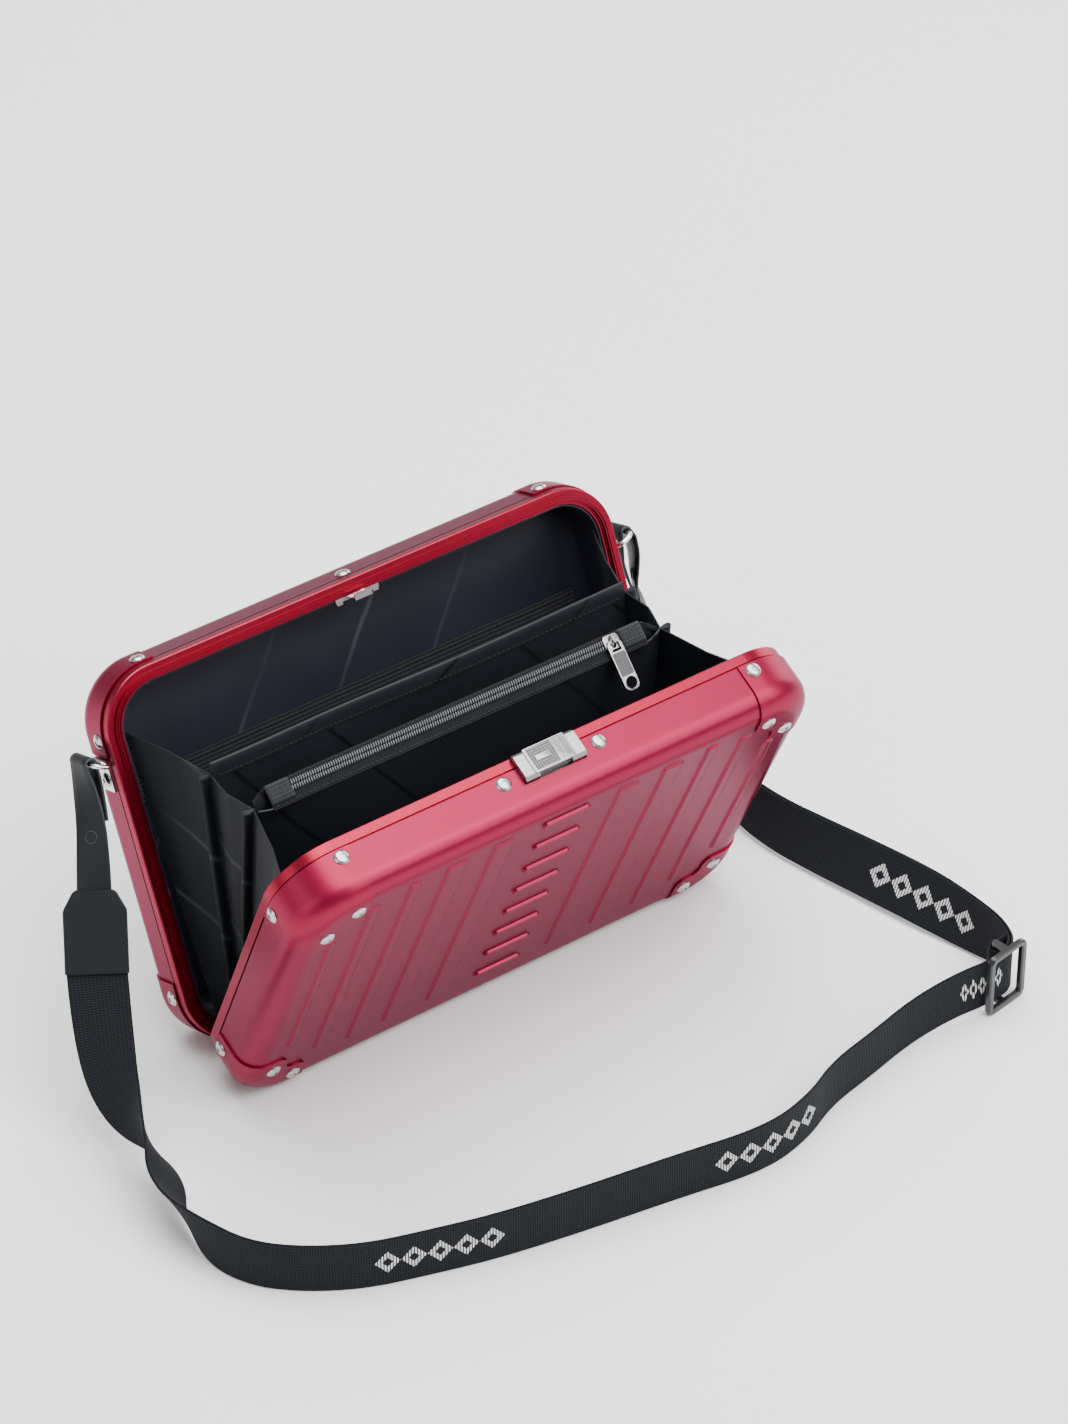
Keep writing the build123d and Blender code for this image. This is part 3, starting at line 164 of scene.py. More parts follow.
class Paint:
    """A finish with one Principled shader."""

    def __init__(self, name, **constants):
        self.material = bpy.data.materials.new(name)
        self.material.use_nodes = True
        self.tree = self.material.node_tree
        self.shader = self.tree.nodes["Principled BSDF"]
        for socket, value in constants.items():
            self.set(socket.replace("_", " "), value)

    def set(self, socket, value):
        """Feed a socket of the shader, by its name."""
        names = {entry.name.lower(): entry for entry in self.shader.inputs}
        entry = names[socket.lower()]
        if isinstance(value, Wire):
            self.tree.links.new(value.socket, entry)
        elif isinstance(value, tuple):
            entry.default_value = (*value, 1.0)
        else:
            entry.default_value = value

    def node(self, kind, settings=None, sockets=None, out=0):
        """Add a node: its settings first, then the values or wires of its sockets."""
        made = self.tree.nodes.new(kind)
        for name, value in (settings or {}).items():
            if name == "stops":
                ramp = made.color_ramp.elements
                while len(ramp) < len(value):
                    ramp.new(0.5)
                for element, (position, colour) in zip(ramp, value):
                    element.position = position
                    element.color = colour
            else:
                setattr(made, name, value)
        for name, value in (sockets or {}).items():
            if isinstance(value, Wire):
                self.tree.links.new(value.socket, made.inputs[name])
            else:
                made.inputs[name].default_value = value
        return Wire(self, made.outputs[out])

    def place(self, turn=(0, 0, 0), scale=(1, 1, 1)):
        """Object coordinates, turned and then scaled."""
        spot = self.node("ShaderNodeTexCoord", out="Object")
        return self.node("ShaderNodeMapping", {}, {"Vector": spot, "Rotation": turn, "Scale": scale})

    def flat(self, scale=(1, 1, 1), turn=0.0):
        """The piece's own UV map, in metres, scaled."""
        spot = self.node("ShaderNodeTexCoord", out="UV")
        return self.node("ShaderNodeMapping", {}, {"Vector": spot, "Rotation": (0, 0, turn), "Scale": scale})

    def axes(self, vector):
        """The three parts of a vector."""
        split = self.tree.nodes.new("ShaderNodeSeparateXYZ")
        self.tree.links.new(vector.socket, split.inputs[0])
        return [Wire(self, output) for output in split.outputs]

    def noise(self, vector, scale, detail=3.0, rough=0.5):
        return self.node("ShaderNodeTexNoise", {},
                         {"Vector": vector, "Scale": scale, "Detail": detail, "Roughness": rough})

    def cells(self, vector, scale, feature="F1"):
        return self.node("ShaderNodeTexVoronoi", {"feature": feature}, {"Vector": vector, "Scale": scale})

    def mix(self, factor, first, second):
        """Colour between two colours."""
        colours = [value if isinstance(value, Wire) else (*value, 1.0) for value in (first, second)]
        return self.node("ShaderNodeMix", {"data_type": "RGBA", "clamp_factor": True},
                         {0: factor, 6: colours[0], 7: colours[1]}, out=2)

    def bump(self, height, distance, strength=1.0, below=None):
        sockets = {"Height": height, "Distance": distance, "Strength": strength}
        if below is not None:
            sockets["Normal"] = below
        return self.node("ShaderNodeBump", {}, sockets)

    def smooth_step(self, value, low, high):
        return self.node("ShaderNodeMapRange", {"interpolation_type": "SMOOTHSTEP"},
                         {"Value": value, "From Min": low, "From Max": high})


def anodised(name, colour, turn, brushed=0.6, rough=0.31, relief=0.30):
    """Satin anodised aluminium with a fine grain along the case; its grazing reflections stay red."""
    paint = Paint(name, metallic=0.97, coat_weight=0.28, coat_roughness=0.28, specular_tint=GRAZING_RED)
    spot = paint.place((turn, 0, 0))
    grain = paint.noise(paint.place((turn, 0, 0), (25, 900, 900)), 1.0, 2.0)
    cloud = paint.noise(spot, 9.0, 3.0)
    dust = paint.noise(spot, 900.0, 2.0)
    deep = tuple(channel * 0.88 for channel in colour)
    paint.set("base color", paint.mix(cloud, deep, colour))
    paint.set("roughness", rough + cloud * 0.07 + grain * 0.05)
    height = grain * (0.6 * brushed) + dust * 0.4
    paint.set("normal", paint.bump(height, 0.00002, relief))
    return paint.material


def bare_metal(name, colour, rough, scratch=0.25, scale=700.0):
    """Polished or satin metal with faint rub marks."""
    paint = Paint(name, metallic=1.0)
    spot = paint.place()
    rub = paint.noise(paint.place((0, 0.6, 0.8), (1, 14, 1)), 120.0, 4.0)
    grain = paint.noise(spot, scale, 2.0)
    dull = tuple(channel * 0.80 for channel in colour)
    paint.set("base color", paint.mix(paint.smooth_step(rub, 0.35, 0.75), colour, dull))
    paint.set("roughness", rough + rub * 0.10 + grain * 0.06)
    paint.set("normal", paint.bump(grain + rub, 0.00002, scratch))
    return paint.material


def coated_black(name):
    """Semi-gloss black lacquer with a slight orange peel and dusted patches."""
    paint = Paint(name, metallic=0.35, coat_weight=0.35, coat_roughness=0.18)
    spot = paint.place()
    peel = paint.noise(spot, 420.0, 2.0)
    worn = paint.smooth_step(paint.noise(spot, 70.0, 5.0), 0.55, 0.78)
    paint.set("base color", paint.mix(worn, (0.012, 0.012, 0.014), (0.03, 0.03, 0.034)))
    paint.set("roughness", 0.30 + peel * 0.12)
    paint.set("normal", paint.bump(peel, 0.00004, 0.35))
    return paint.material


def lining_cloth(name, tone=(0.0090, 0.0095, 0.0175), stripe=(0.042, 0.044, 0.062),
                 pitch=0.046, width=0.075, slant=radians(38), shine=0.42, wear=9.0, level=0.24):
    """Smooth coated nylon with a fine weave and thin, broken, slanted stripes."""
    paint = Paint(name, specular_ior_level=level, sheen_weight=0.02, sheen_roughness=0.4)
    across, along, _ = paint.axes(paint.flat())
    cloud = paint.noise(paint.flat(), 22.0, 3.0)
    slanted, _, _ = paint.axes(paint.flat(turn=slant))
    line = ((slanted + cloud * 0.006) / pitch).part()
    band = paint.smooth_step(line, 0.0, width * 0.4) * (1 - paint.smooth_step(line, width * 0.6, width))
    worn = paint.smooth_step(paint.noise(paint.flat(), wear, 2.0), 0.38, 0.62)
    paint.set("base color", paint.mix(band * worn, paint.mix(cloud, tone, tuple(c * 1.5 for c in tone)), stripe))
    weft = (across * 1700.0).wave()
    warp = (along * 1700.0).wave()
    crease = paint.noise(paint.flat((1, 0.35, 1), turn=0.5), 34.0, 4.0)
    paint.set("roughness", shine + cloud * 0.14 - band * 0.06)
    fine = paint.bump(weft * 0.5 + warp * 0.5, 0.00006, 0.5)
    paint.set("normal", paint.bump(crease, 0.0014, 0.35, fine))
    return paint.material


def ribbed_cloth(name, tone, light, pitch, along_rib=True, depth=0.0003):
    """Woven tape or elastic with ribs along or across it; its paler colour is a painted highlight on the rib crests."""
    paint = Paint(name, specular_ior_level=0.20, sheen_weight=0.05, sheen_roughness=0.5)
    across, along, _ = paint.axes(paint.flat())
    over, under = (across, along) if along_rib else (along, across)
    rib = (over / pitch).wave()
    stitch = (under / (pitch * 0.6) + (over / pitch).math("FLOOR") * 0.5).wave()
    fuzz = paint.noise(paint.flat(), 1500.0, 2.0)
    # Painted highlight: the paler colour goes where the ribs and stitches stand highest; the fuzz flecks are random.
    paint.set("base color", paint.mix(rib * (0.5 + 0.5 * stitch) * 0.8 + fuzz * 0.2, tone, light))
    paint.set("roughness", 0.66 + fuzz * 0.2)
    paint.set("normal", paint.bump(rib + stitch * 0.35, depth, 0.7))
    return paint.material


def leather(name, width):
    """Smooth bluish black leather with a fine grain and paler cut edges, for a strip of a width."""
    paint = Paint(name, specular_ior_level=0.20, coat_weight=0.02, coat_roughness=0.40)
    spot = paint.place()
    grain = paint.cells(spot, 1500.0)
    cloud = paint.noise(spot, 60.0, 4.0)
    across, _, _ = paint.axes(paint.flat())
    edge = paint.smooth_step(across.size(), width / 2 - 0.8 * MM, width / 2 - 0.1 * MM)
    tone = paint.mix(cloud, (0.0050, 0.0066, 0.0086), (0.0085, 0.0104, 0.0130))
    paint.set("base color", paint.mix(edge, tone, (0.032, 0.037, 0.043)))
    paint.set("roughness", 0.44 + cloud * 0.16)
    paint.set("normal", paint.bump(grain * 0.7 + cloud * 0.3, 0.00012, 0.45))
    return paint.material


def webbing_cloth(name, marks=()):
    """Ribbed black webbing; each mark is a run of woven lozenges from one length along it to another."""
    paint = Paint(name, specular_ior_level=0.10, sheen_weight=0.02, sheen_roughness=0.5)
    across, along, _ = paint.axes(paint.flat())
    rib = (along / RIB_PITCH).wave()
    cord = (across / CORD_PITCH).wave()
    fuzz = paint.noise(paint.flat(), 1300.0, 3.0)
    cloud = paint.noise(paint.flat((1, 0.3, 1)), 40.0, 3.0)
    lint = paint.smooth_step(paint.noise(paint.flat((1, 0.25, 1)), 380.0, 2.0), 0.72, 0.80)
    border = paint.smooth_step(across.size(), STRAP_WIDTH / 2 - 2.2 * MM, STRAP_WIDTH / 2 - 1.6 * MM)
    tone = paint.mix(cloud, (0.0030, 0.0040, 0.0054), (0.0050, 0.0063, 0.0082))
    # Painted highlight: the rib and cord crests are painted paler; the lint flecks mixed in are real.
    tone = paint.mix(rib * (0.35 + cord * 0.65) * 0.8 + lint * 0.25, tone, (0.020, 0.023, 0.028))
    height = rib * 0.8 + cord * 0.4 + border * 0.5
    white = None
    for start, finish in marks:
        step = (finish - start) / MARK_COUNT
        within = (along > start) * (along < finish)
        lozenge = ((along - start) / step).part() - 0.5
        reach = (across / MARK_HALF).size() + (lozenge * 2.0).size()
        hollow = (reach < 0.98) * (reach > 0.42)
        dash = ((along / (1.5 * MM)).part() < 0.62)
        mark = within * hollow * dash
        white = mark if white is None else white + mark
    if white is not None:
        tone = paint.mix(white, tone, (0.62, 0.63, 0.62))
        height = height + white * 0.5
    paint.set("base color", tone)
    paint.set("roughness", 0.68 + fuzz * 0.2)
    paint.set("normal", paint.bump(height, 0.0003, 0.75))
    return paint.material


def moulded_nylon(name):
    """Glossy dark monofilament, rubbed paler in random patches."""
    paint = Paint(name, specular_ior_level=0.6)
    spot = paint.place()
    rub = paint.noise(spot, 800.0, 3.0)
    paint.set("base color", paint.mix(rub, (0.024, 0.026, 0.029), (0.085, 0.090, 0.098)))
    paint.set("roughness", 0.26 + rub * 0.15)
    paint.set("normal", paint.bump(rub, 0.00003, 0.4))
    return paint.material


def plain_thread(name, colour, rough=0.6):
    """Twisted sewing thread."""
    paint = Paint(name, specular_ior_level=0.3)
    twist = paint.noise(paint.place(), 2600.0, 2.0)
    paint.set("base color", paint.mix(twist, tuple(channel * 0.7 for channel in colour), colour))
    paint.set("roughness", rough + twist * 0.1)
    paint.set("normal", paint.bump(twist, 0.00005, 0.5))
    return paint.material


# Frames of the case, each with x along the hinge, y up the panel and z towards the named side
def leaf(tilt, facing=1):
    """Frame of a panel through the hinge line, tilted backwards; it faces forwards, or backwards at -1."""
    up = Vector((0, sin(tilt), cos(tilt)))
    out = Vector((0, -cos(tilt), sin(tilt))) * facing
    turn = Matrix((Vector((1, 0, 0)), up, out)).transposed()
    return Matrix.Translation(HINGE) @ turn.to_4x4()


FRONT = leaf(-OPEN)
BACK = leaf(OPEN, facing=-1)
DIVIDER = leaf(DIVIDER_TILT)
POCKET = leaf(POCKET_TILT)


def axis(place, index):
    """Unit vector of one axis of a frame."""
    return place.col[index].to_3d()


# Mesh building for cloth, leather and webbing
def new_piece(name, mesh):
    piece = bpy.data.objects.new(name, mesh)
    bpy.context.scene.collection.objects.link(piece)
    return piece


def distances(points):
    """Length along a row of points up to each of them."""
    found = [0.0]
    for before, after in zip(points, points[1:]):
        found.append(found[-1] + (after - before).length)
    return found


def grid(name, rows, ring=False, across=None, along=None, capped=False, flats=None):
    """Mesh over rows of points. Its UV map gives metres across and along the material, or follows flats."""
    width = len(rows[0])
    spans = width if ring else width - 1
    if across is None:
        middle = rows[len(rows) // 2]
        across = distances(middle + middle[:1] if ring else middle)
    if along is None:
        along = distances([row[width // 2] for row in rows])
    faces, corners = [], []
    for row in range(len(rows) - 1):
        for place in range(spans):
            following = (place + 1) % width
            faces.append((row * width + place, row * width + following,
                          (row + 1) * width + following, (row + 1) * width + place))
            if flats:
                corners += [flats[row][place], flats[row][following], flats[row + 1][following], flats[row + 1][place]]
            else:
                corners += [(across[place], along[row]), (across[place + 1], along[row]),
                            (across[place + 1], along[row + 1]), (across[place], along[row + 1])]
    if capped:
        for row, order in ((0, reversed(range(width))), (len(rows) - 1, range(width))):
            order = list(order)
            faces.append(tuple(row * width + place for place in order))
            corners += [(across[place], along[row]) for place in order]
    mesh = bpy.data.meshes.new(name)
    mesh.from_pydata([point for row in rows for point in row], [], faces)
    layer = mesh.uv_layers.new(name="cloth")
    for loop, corner in zip(layer.data, corners):
        loop.uv = corner
    return new_piece(name, mesh)


def alone(piece):
    """Select one object and make it active."""
    bpy.ops.object.select_all(action="DESELECT")
    piece.select_set(True)
    bpy.context.view_layer.objects.active = piece


def apply(piece, kind, **settings):
    """Add a modifier, set it and apply it."""
    alone(piece)
    modifier = piece.modifiers.new(kind.lower(), kind)
    for name, value in settings.items():
        setattr(modifier, name, value)
    bpy.ops.object.modifier_apply(modifier=modifier.name)
    return piece


def outward_faces(piece):
    """Merge doubles and turn every face outwards."""
    shape = bmesh.new()
    shape.from_mesh(piece.data)
    bmesh.ops.remove_doubles(shape, verts=shape.verts, dist=1e-6)
    bmesh.ops.recalc_face_normals(shape, faces=shape.faces)
    shape.to_mesh(piece.data)
    shape.free()
    return piece


def finish_piece(piece, material, body=None, replaces=(), smooth=radians(40)):
    """Give a piece its material and body, and hide the nodes that it stands for."""
    piece.data.materials.clear()
    piece.data.materials.append(material)
    if smooth:
        alone(piece)
        bpy.ops.object.shade_smooth_by_angle(angle=smooth)
    if body:
        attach(piece, body)
    if replaces:
        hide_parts(*replaces)
    return piece


def ripple(point, scale, seed):
    """Smooth wave between -1 and 1 that is the same on every run."""
    return noise.noise(Vector((point[0] * scale, point[1] * scale, seed)))


# Stitches, made once as a small rounded bar and copied along a line
def stitches(name, runs, material, body, length=2.1 * MM, pitch=2.9 * MM, radius=0.28 * MM):
    """Row of thread stitches along each run of (point, outward normal) pairs."""
    vertices, faces = [], []
    for run in runs:
        points = [place for place, _ in run]
        marks = distances(points)
        count = int(marks[-1] / pitch)
        for number in range(count):
            middle = (number + 0.5) * marks[-1] / count
            index = max(place for place in range(len(marks) - 1) if marks[place] <= middle)
            share = (middle - marks[index]) / max(marks[index + 1] - marks[index], 1e-9)
            centre = points[index].lerp(points[index + 1], share)
            ahead = (points[index + 1] - points[index]).normalized()
            out = run[index][1].lerp(run[index + 1][1], share).normalized()
            side = ahead.cross(out).normalized()
            base = len(vertices)
            for step, (along, thick) in enumerate(((-0.5, 0.15), (-0.40, 0.8), (0.0, 1.0), (0.40, 0.8), (0.5, 0.15))):
                for turn in range(6):
                    angle = turn * pi / 3
                    vertices.append(centre + ahead * (along * length)
                                    + (side * cos(angle) + out * (0.25 + sin(angle))) * (radius * thick))
                if step:
                    for turn in range(6):
                        after = (turn + 1) % 6
                        low, high = base + (step - 1) * 6, base + step * 6
                        faces.append((low + turn, low + after, high + after, high + turn))
            faces.append(tuple(base + turn for turn in reversed(range(6))))
            faces.append(tuple(base + 24 + turn for turn in range(6)))
    mesh = bpy.data.meshes.new(name)
    mesh.from_pydata(vertices, [], faces)
    piece = outward_faces(new_piece(name, mesh))
    return finish_piece(piece, material, body)


# Strap: the route's points are the control points of a smooth line
STRAP_WIDTH, STRAP_WALL = 30 * MM, 1.5 * MM
LEATHER_WIDTH, LEATHER_WALL = 17.0 * MM, 1.5 * MM
END_NARROW, END_WIDE = 20.5 * MM, 31.5 * MM
RIB_PITCH, CORD_PITCH = 1.25 * MM, 1.9 * MM
MARK_HALF, MARK_COUNT = 7.0 * MM, 5
LINE_DETAIL = 14

STRAP_ROUTE = [
    (-0.192, 0.022, 0.072),
    (-0.204, -0.001, 0.050),
    (-0.212, -0.027, 0.035),
    (-0.2105, -0.057, 0.026),
    (-0.2145, -0.0725, 0.0217),
    (-0.2195, -0.088, 0.0175),
    (-0.2185, -0.115, 0.0152),
    (-0.209, -0.139, 0.0152),
    (-0.190, -0.157, 0.0152),
    (-0.165, -0.172, 0.0152),
    (-0.136, -0.1815, 0.0152),
    (-0.103, -0.1915, 0.0152),
    (-0.058, -0.2005, 0.0152),
    (-0.012, -0.208, 0.0152),
    (0.036, -0.2175, 0.0152),
    (0.066, -0.212, 0.0152),
    (0.090, -0.200, 0.0152),
    (0.118, -0.1945, 0.0152),
    (0.148, -0.1875, 0.0155),
    (0.176, -0.187, 0.0175),
    (0.198, -0.1905, 0.019),
    (0.215, -0.1875, 0.019),
    (0.222, -0.169, 0.0178),
    (0.2195, -0.146, 0.0152),
    (0.213, -0.117, 0.0152),
    (0.203, -0.083, 0.0152),
    (0.194, -0.055, 0.0155),
    (0.1855, -0.028, 0.0165),
    (0.183, -0.004, 0.0178),
    (0.1862, 0.014, 0.0188),
]
ROUTE_ACROSS = [
    (0.0246, -0.0171, 0.0),
    (0.0240, -0.0150, 0.0090),
    (0.0160, -0.0070, 0.0245),
    (-0.0136, -0.0059, 0.0261),
    (-0.0219, -0.0035, 0.0202),
    (-0.0136, -0.0059, 0.0261),
] + [(0.0, 0.0, 0.030)] * 17 + [
    (0.008, 0.0, 0.0289),
    (0.017, 0.0, 0.0247),
    (0.016, 0.0, 0.0254),
    (0.013, 0.0, 0.0270),
    (0.009, 0.0, 0.0286),
    (0.004, 0.0, 0.0297),
    (0.0, 0.0, 0.030),
]
LEAD_ROUTE = [
    (0.1886, 0.033, 0.0215),
    (0.1886, 0.043, 0.0275),
    (0.1868, 0.0525, 0.0375),
    (0.1842, 0.0595, 0.0485),
    (0.181, 0.066, 0.060),
]
LEAD_ACROSS = [
    (0, -0.009, 0.0286),
    (-0.001, -0.017, 0.0247),
    (-0.005, -0.023, 0.0186),
    (-0.011, -0.025, 0.0123),
    (-0.015, -0.0259, 0.0015),
]
LEFT_END = [(-0.179, 0.0425, 0.105), (-0.1826, 0.037, 0.0962), (-0.192, 0.022, 0.072)]
RIGHT_END = [(0.1708, 0.077, 0.106), (0.1732, 0.075, 0.096), (0.178, 0.071, 0.078), (0.181, 0.066, 0.060)]
LEFT_WIDE, RIGHT_WIDE = Vector((0.82, -0.57, 0)).normalized(), Vector((0.50, 0.86, -0.05)).normalized()
LEFT_TAB = [(-0.164, 0.072, 0.143), (-0.168, 0.0605, 0.130), (-0.1735, 0.051, 0.1175), (-0.179, 0.0425, 0.105)]
RIGHT_TAB = [(0.166, 0.078, 0.148), (0.1693, 0.078, 0.138), (0.1703, 0.078, 0.127), (0.170, 0.0778, 0.116),
             (0.1708, 0.077, 0.106)]
LEFT_GAPS, RIGHT_GAPS = [4.6 * MM, 2.6 * MM], [9.0 * MM, 9.8 * MM, 7.0 * MM, 2.6 * MM]
MARKS = [(0.288, 0.366), (0.499, 0.577), (0.709, 0.740)]
RETURN_MARK = (0.125, 0.207)
PLY_STEP, BAR_PLAY, TAB_PLAY, HEM = 1.9 * MM, 0.6 * MM, 0.8 * MM, 12 * MM
LOOP_BAR, LOOP_REACH = 1.6 * MM, 9 * MM
ADJUSTER_SPOT, ADJUSTER_BAR = Vector((0.205, -0.1893, 0.019)), 1.8 * MM
RING_REACH, RING_WIRE, RING_TILT = 8.5 * MM, 1.25 * MM, radians(25)


def smooth_line(name, route):
    """Points along the smooth line whose control points are the route's."""
    curve = bpy.data.curves.new(name, "CURVE")
    curve.dimensions = "3D"
    spline = curve.splines.new("NURBS")
    spline.points.add(len(route) - 1)
    for point, place in zip(spline.points, route):
        point.co = (*place, 1.0)
    spline.order_u = 3
    spline.use_endpoint_u = True
    spline.resolution_u = LINE_DETAIL
    guide = new_piece(name, curve)
    read = bpy.data.meshes.new_from_object(guide)
    points = [vertex.co.copy() for vertex in read.vertices]
    bpy.data.objects.remove(guide)
    return points


def smooth_route(name, route, across):
    """Middle points of a band and its width vectors, from the middle line and the line of one edge."""
    route = [Vector(place) for place in route]
    across = [Vector(wide) for wide in across]
    middle = smooth_line(name, route)
    edge = smooth_line(name, [place + wide / 2 for place, wide in zip(route, across)])
    return middle, [(side - centre) * 2 for side, centre in zip(edge, middle)]


def headings(points, start=None, finish=None):
    """Direction of a line at each of its points."""
    found = []
    for index in range(len(points)):
        before, after = points[max(index - 1, 0)], points[min(index + 1, len(points) - 1)]
        found.append((after - before).normalized())
    if start:
        found[0] = start
    if finish:
        found[-1] = finish
    return found


EDGE_PROFILE = [(-1.0, 0.0), (-0.985, 0.62), (-0.945, 0.95), (-0.86, 0.98), (-0.6, 0.9), (-0.3, 0.9), (0.0, 0.9),
                (0.3, 0.9), (0.6, 0.9), (0.86, 0.98), (0.945, 0.95), (0.985, 0.62), (1.0, 0.0)]


def band(name, centres, across, widths, wall, start=None, finish=None, profile=None):
    """Flat band with rounded edges round a line, and its surface normals at each station."""
    profile = profile or EDGE_PROFILE
    sides = [(share, height) for share, height in profile]
    sides += [(share, -height) for share, height in reversed(profile[1:-1])]
    rows, normals = [], []
    for centre, ahead, wide, width in zip(centres, headings(centres, start, finish), across, widths):
        wide = (wide - ahead * wide.dot(ahead)).normalized()
        out = ahead.cross(wide).normalized()
        normals.append(out)
        rows.append([centre + wide * (share * width / 2) + out * (height * wall / 2) for share, height in sides])
    half = widths[len(widths) // 2] / 2
    flat = [share * half for share, _ in sides] + [-half]
    piece = grid(name, rows, ring=True, across=flat, along=distances(centres), capped=True)
    return outward_faces(piece), normals


def turned(centre, ahead, out, radius, start, stop, count):
    """Points round a bar, by angles from the way ahead (0) to the outer side (90 degrees)."""
    angles = [radians(start + (stop - start) * step / (count - 1)) for step in range(count)]
    return [centre + (ahead * cos(angle) + out * sin(angle)) * radius for angle in angles]


def ring_frame(side):
    """Origin of a ring's bar in its bracket, and the way the ring reaches out."""
    eye = BACK @ Vector((side * (CASE_WIDTH / 2 + RING_WIRE + 1.2 * MM), 158.2 * MM, 14.5 * MM))
    reach = Vector((side, 0, 0)) * cos(RING_TILT) + axis(BACK, 1) * sin(RING_TILT)
    return eye, reach


def make_webbing(web, marks_on):
    """Main ply, returning ply and lead of the webbing."""
    centres, across = smooth_route("strap_line", STRAP_ROUTE, ROUTE_ACROSS)
    upright = Vector((0, 0, 1))
    ahead = (Vector(STRAP_ROUTE[-1]) - Vector(STRAP_ROUTE[-2])).normalized()
    out = ahead.cross(upright).normalized()
    bar_line = out.cross(ahead).normalized()
    radius = LOOP_BAR + BAR_PLAY + STRAP_WALL / 2
    near_bar = Vector(STRAP_ROUTE[-1]) - out * radius
    far_bar = near_bar + ahead * LOOP_REACH
    turn = turned(near_bar, ahead, out, radius, 60, -90, 11)
    line = centres + turn
    whole = distances(line)
    main, _ = band("strap_webbing_ply", line, across + [bar_line] * len(turn), [STRAP_WIDTH] * len(line), STRAP_WALL,
                   start=(Vector(LEFT_END[2]) - Vector(LEFT_END[1])).normalized(), finish=-ahead)
    length = distances(centres)[-1]
    marked_cloth = marks_on("marked_webbing", [(low * length, high * length) for low, high in MARKS])
    finish_piece(main, marked_cloth, "back_half", ["strap_webbing"])

    index = min(range(len(centres)), key=lambda place: (centres[place] - ADJUSTER_SPOT).length)
    ways = headings(centres)
    slide_ahead = ways[index]
    slide_out = slide_ahead.cross(upright).normalized()
    normals = [way.cross(wide).normalized() for way, wide in zip(ways, across)]
    bar_centre = centres[index] - normals[index] * (PLY_STEP + STRAP_WALL / 2 + 0.6 * MM + ADJUSTER_BAR)
    hem_radius = ADJUSTER_BAR + BAR_PLAY + STRAP_WALL / 2
    hem = turned(bar_centre, -slide_ahead, slide_out, hem_radius, 90, -90, 13)
    parting = 2 * radius - PLY_STEP
    returning, wides = [], []
    for place in range(len(centres) - 1, index + 1, -1):
        left = whole[len(centres) - 1] - whole[place]
        nearness = max(0.0, 1 - left / (45 * MM))
        returning.append(centres[place] - normals[place] * (PLY_STEP + parting * nearness ** 2))
        wides.append(across[place])
    line = returning + hem + [hem[-1] + slide_ahead * HEM]
    back, _ = band("strap_return_ply", line, wides + [upright] * (len(hem) + 1), [STRAP_WIDTH] * len(line),
                   STRAP_WALL, start=-ahead)
    marked_cloth = marks_on("marked_return", [(RETURN_MARK[0] * length, RETURN_MARK[1] * length)])
    finish_piece(back, marked_cloth, "back_half", ["strap_return"])

    lead_turn = turned(far_bar, -ahead, out, radius, -90, 90, 15)
    lead_points, lead_across = smooth_route("lead_line", [lead_turn[-1]] + LEAD_ROUTE,
                                            [bar_line * STRAP_WIDTH] + LEAD_ACROSS)
    line = [lead_turn[0] + ahead * HEM] + lead_turn + lead_points[1:]
    wides = [bar_line] * (len(lead_turn) + 1) + lead_across[1:]
    lead, _ = band("strap_lead_ply", line, wides, [STRAP_WIDTH] * len(line), STRAP_WALL,
                   finish=(Vector(RIGHT_END[2]) - Vector(RIGHT_END[3])).normalized())
    finish_piece(lead, web, "back_half", ["strap_lead"])
    return main, centres, [back, lead]


def make_tab(side, outer, wide_end, gaps, hide):
    """Leather folded over a case ring: its inner ply, the turn over the bar, and its outer ply."""
    word = "left" if side < 0 else "right"
    eye, reach = ring_frame(side)
    bar = eye + reach * RING_REACH
    wrap = RING_WIRE + TAB_PLAY + LEATHER_WALL / 2
    over = turned(bar, Vector((side, 0, 0)), axis(BACK, 1), wrap, 180, 0, 9)
    wide_start = axis(BACK, 2) * side
    outer = [Vector(place) for place in outer]
    outer_ply = [over[-1]] + outer
    steps = len(outer)
    outer_across = [wide_start.lerp(wide_end, step / steps).normalized() for step in range(steps + 1)]
    inner_ply = []
    for step in range(1, len(gaps) + 1):
        run = outer_ply[min(step + 1, steps)] - outer_ply[step - 1]
        inner_ply.append(outer_ply[step] - run.cross(outer_across[step]).normalized() * gaps[step - 1])
    route = inner_ply[::-1] + over + outer
    wides = outer_across[1:len(gaps) + 1][::-1] + [wide_start] * len(over) + outer_across[1:]
    centres, across = smooth_route(f"tab_line_{word}", route, [wide * LEATHER_WIDTH for wide in wides])
    profile = [(-1.0, 0.0), (-0.97, 0.75), (-0.93, 1.0), (-0.5, 1.0), (0.0, 1.0), (0.5, 1.0), (0.93, 1.0),
               (0.97, 0.75), (1.0, 0.0)]
    tab, normals = band(f"strap_loop_leather_{word}", centres, across, [LEATHER_WIDTH] * len(centres), LEATHER_WALL,
                        profile=profile)
    finish_piece(tab, hide, "back_half", [f"strap_tab_{word}"])
    return tab, centres, across, normals


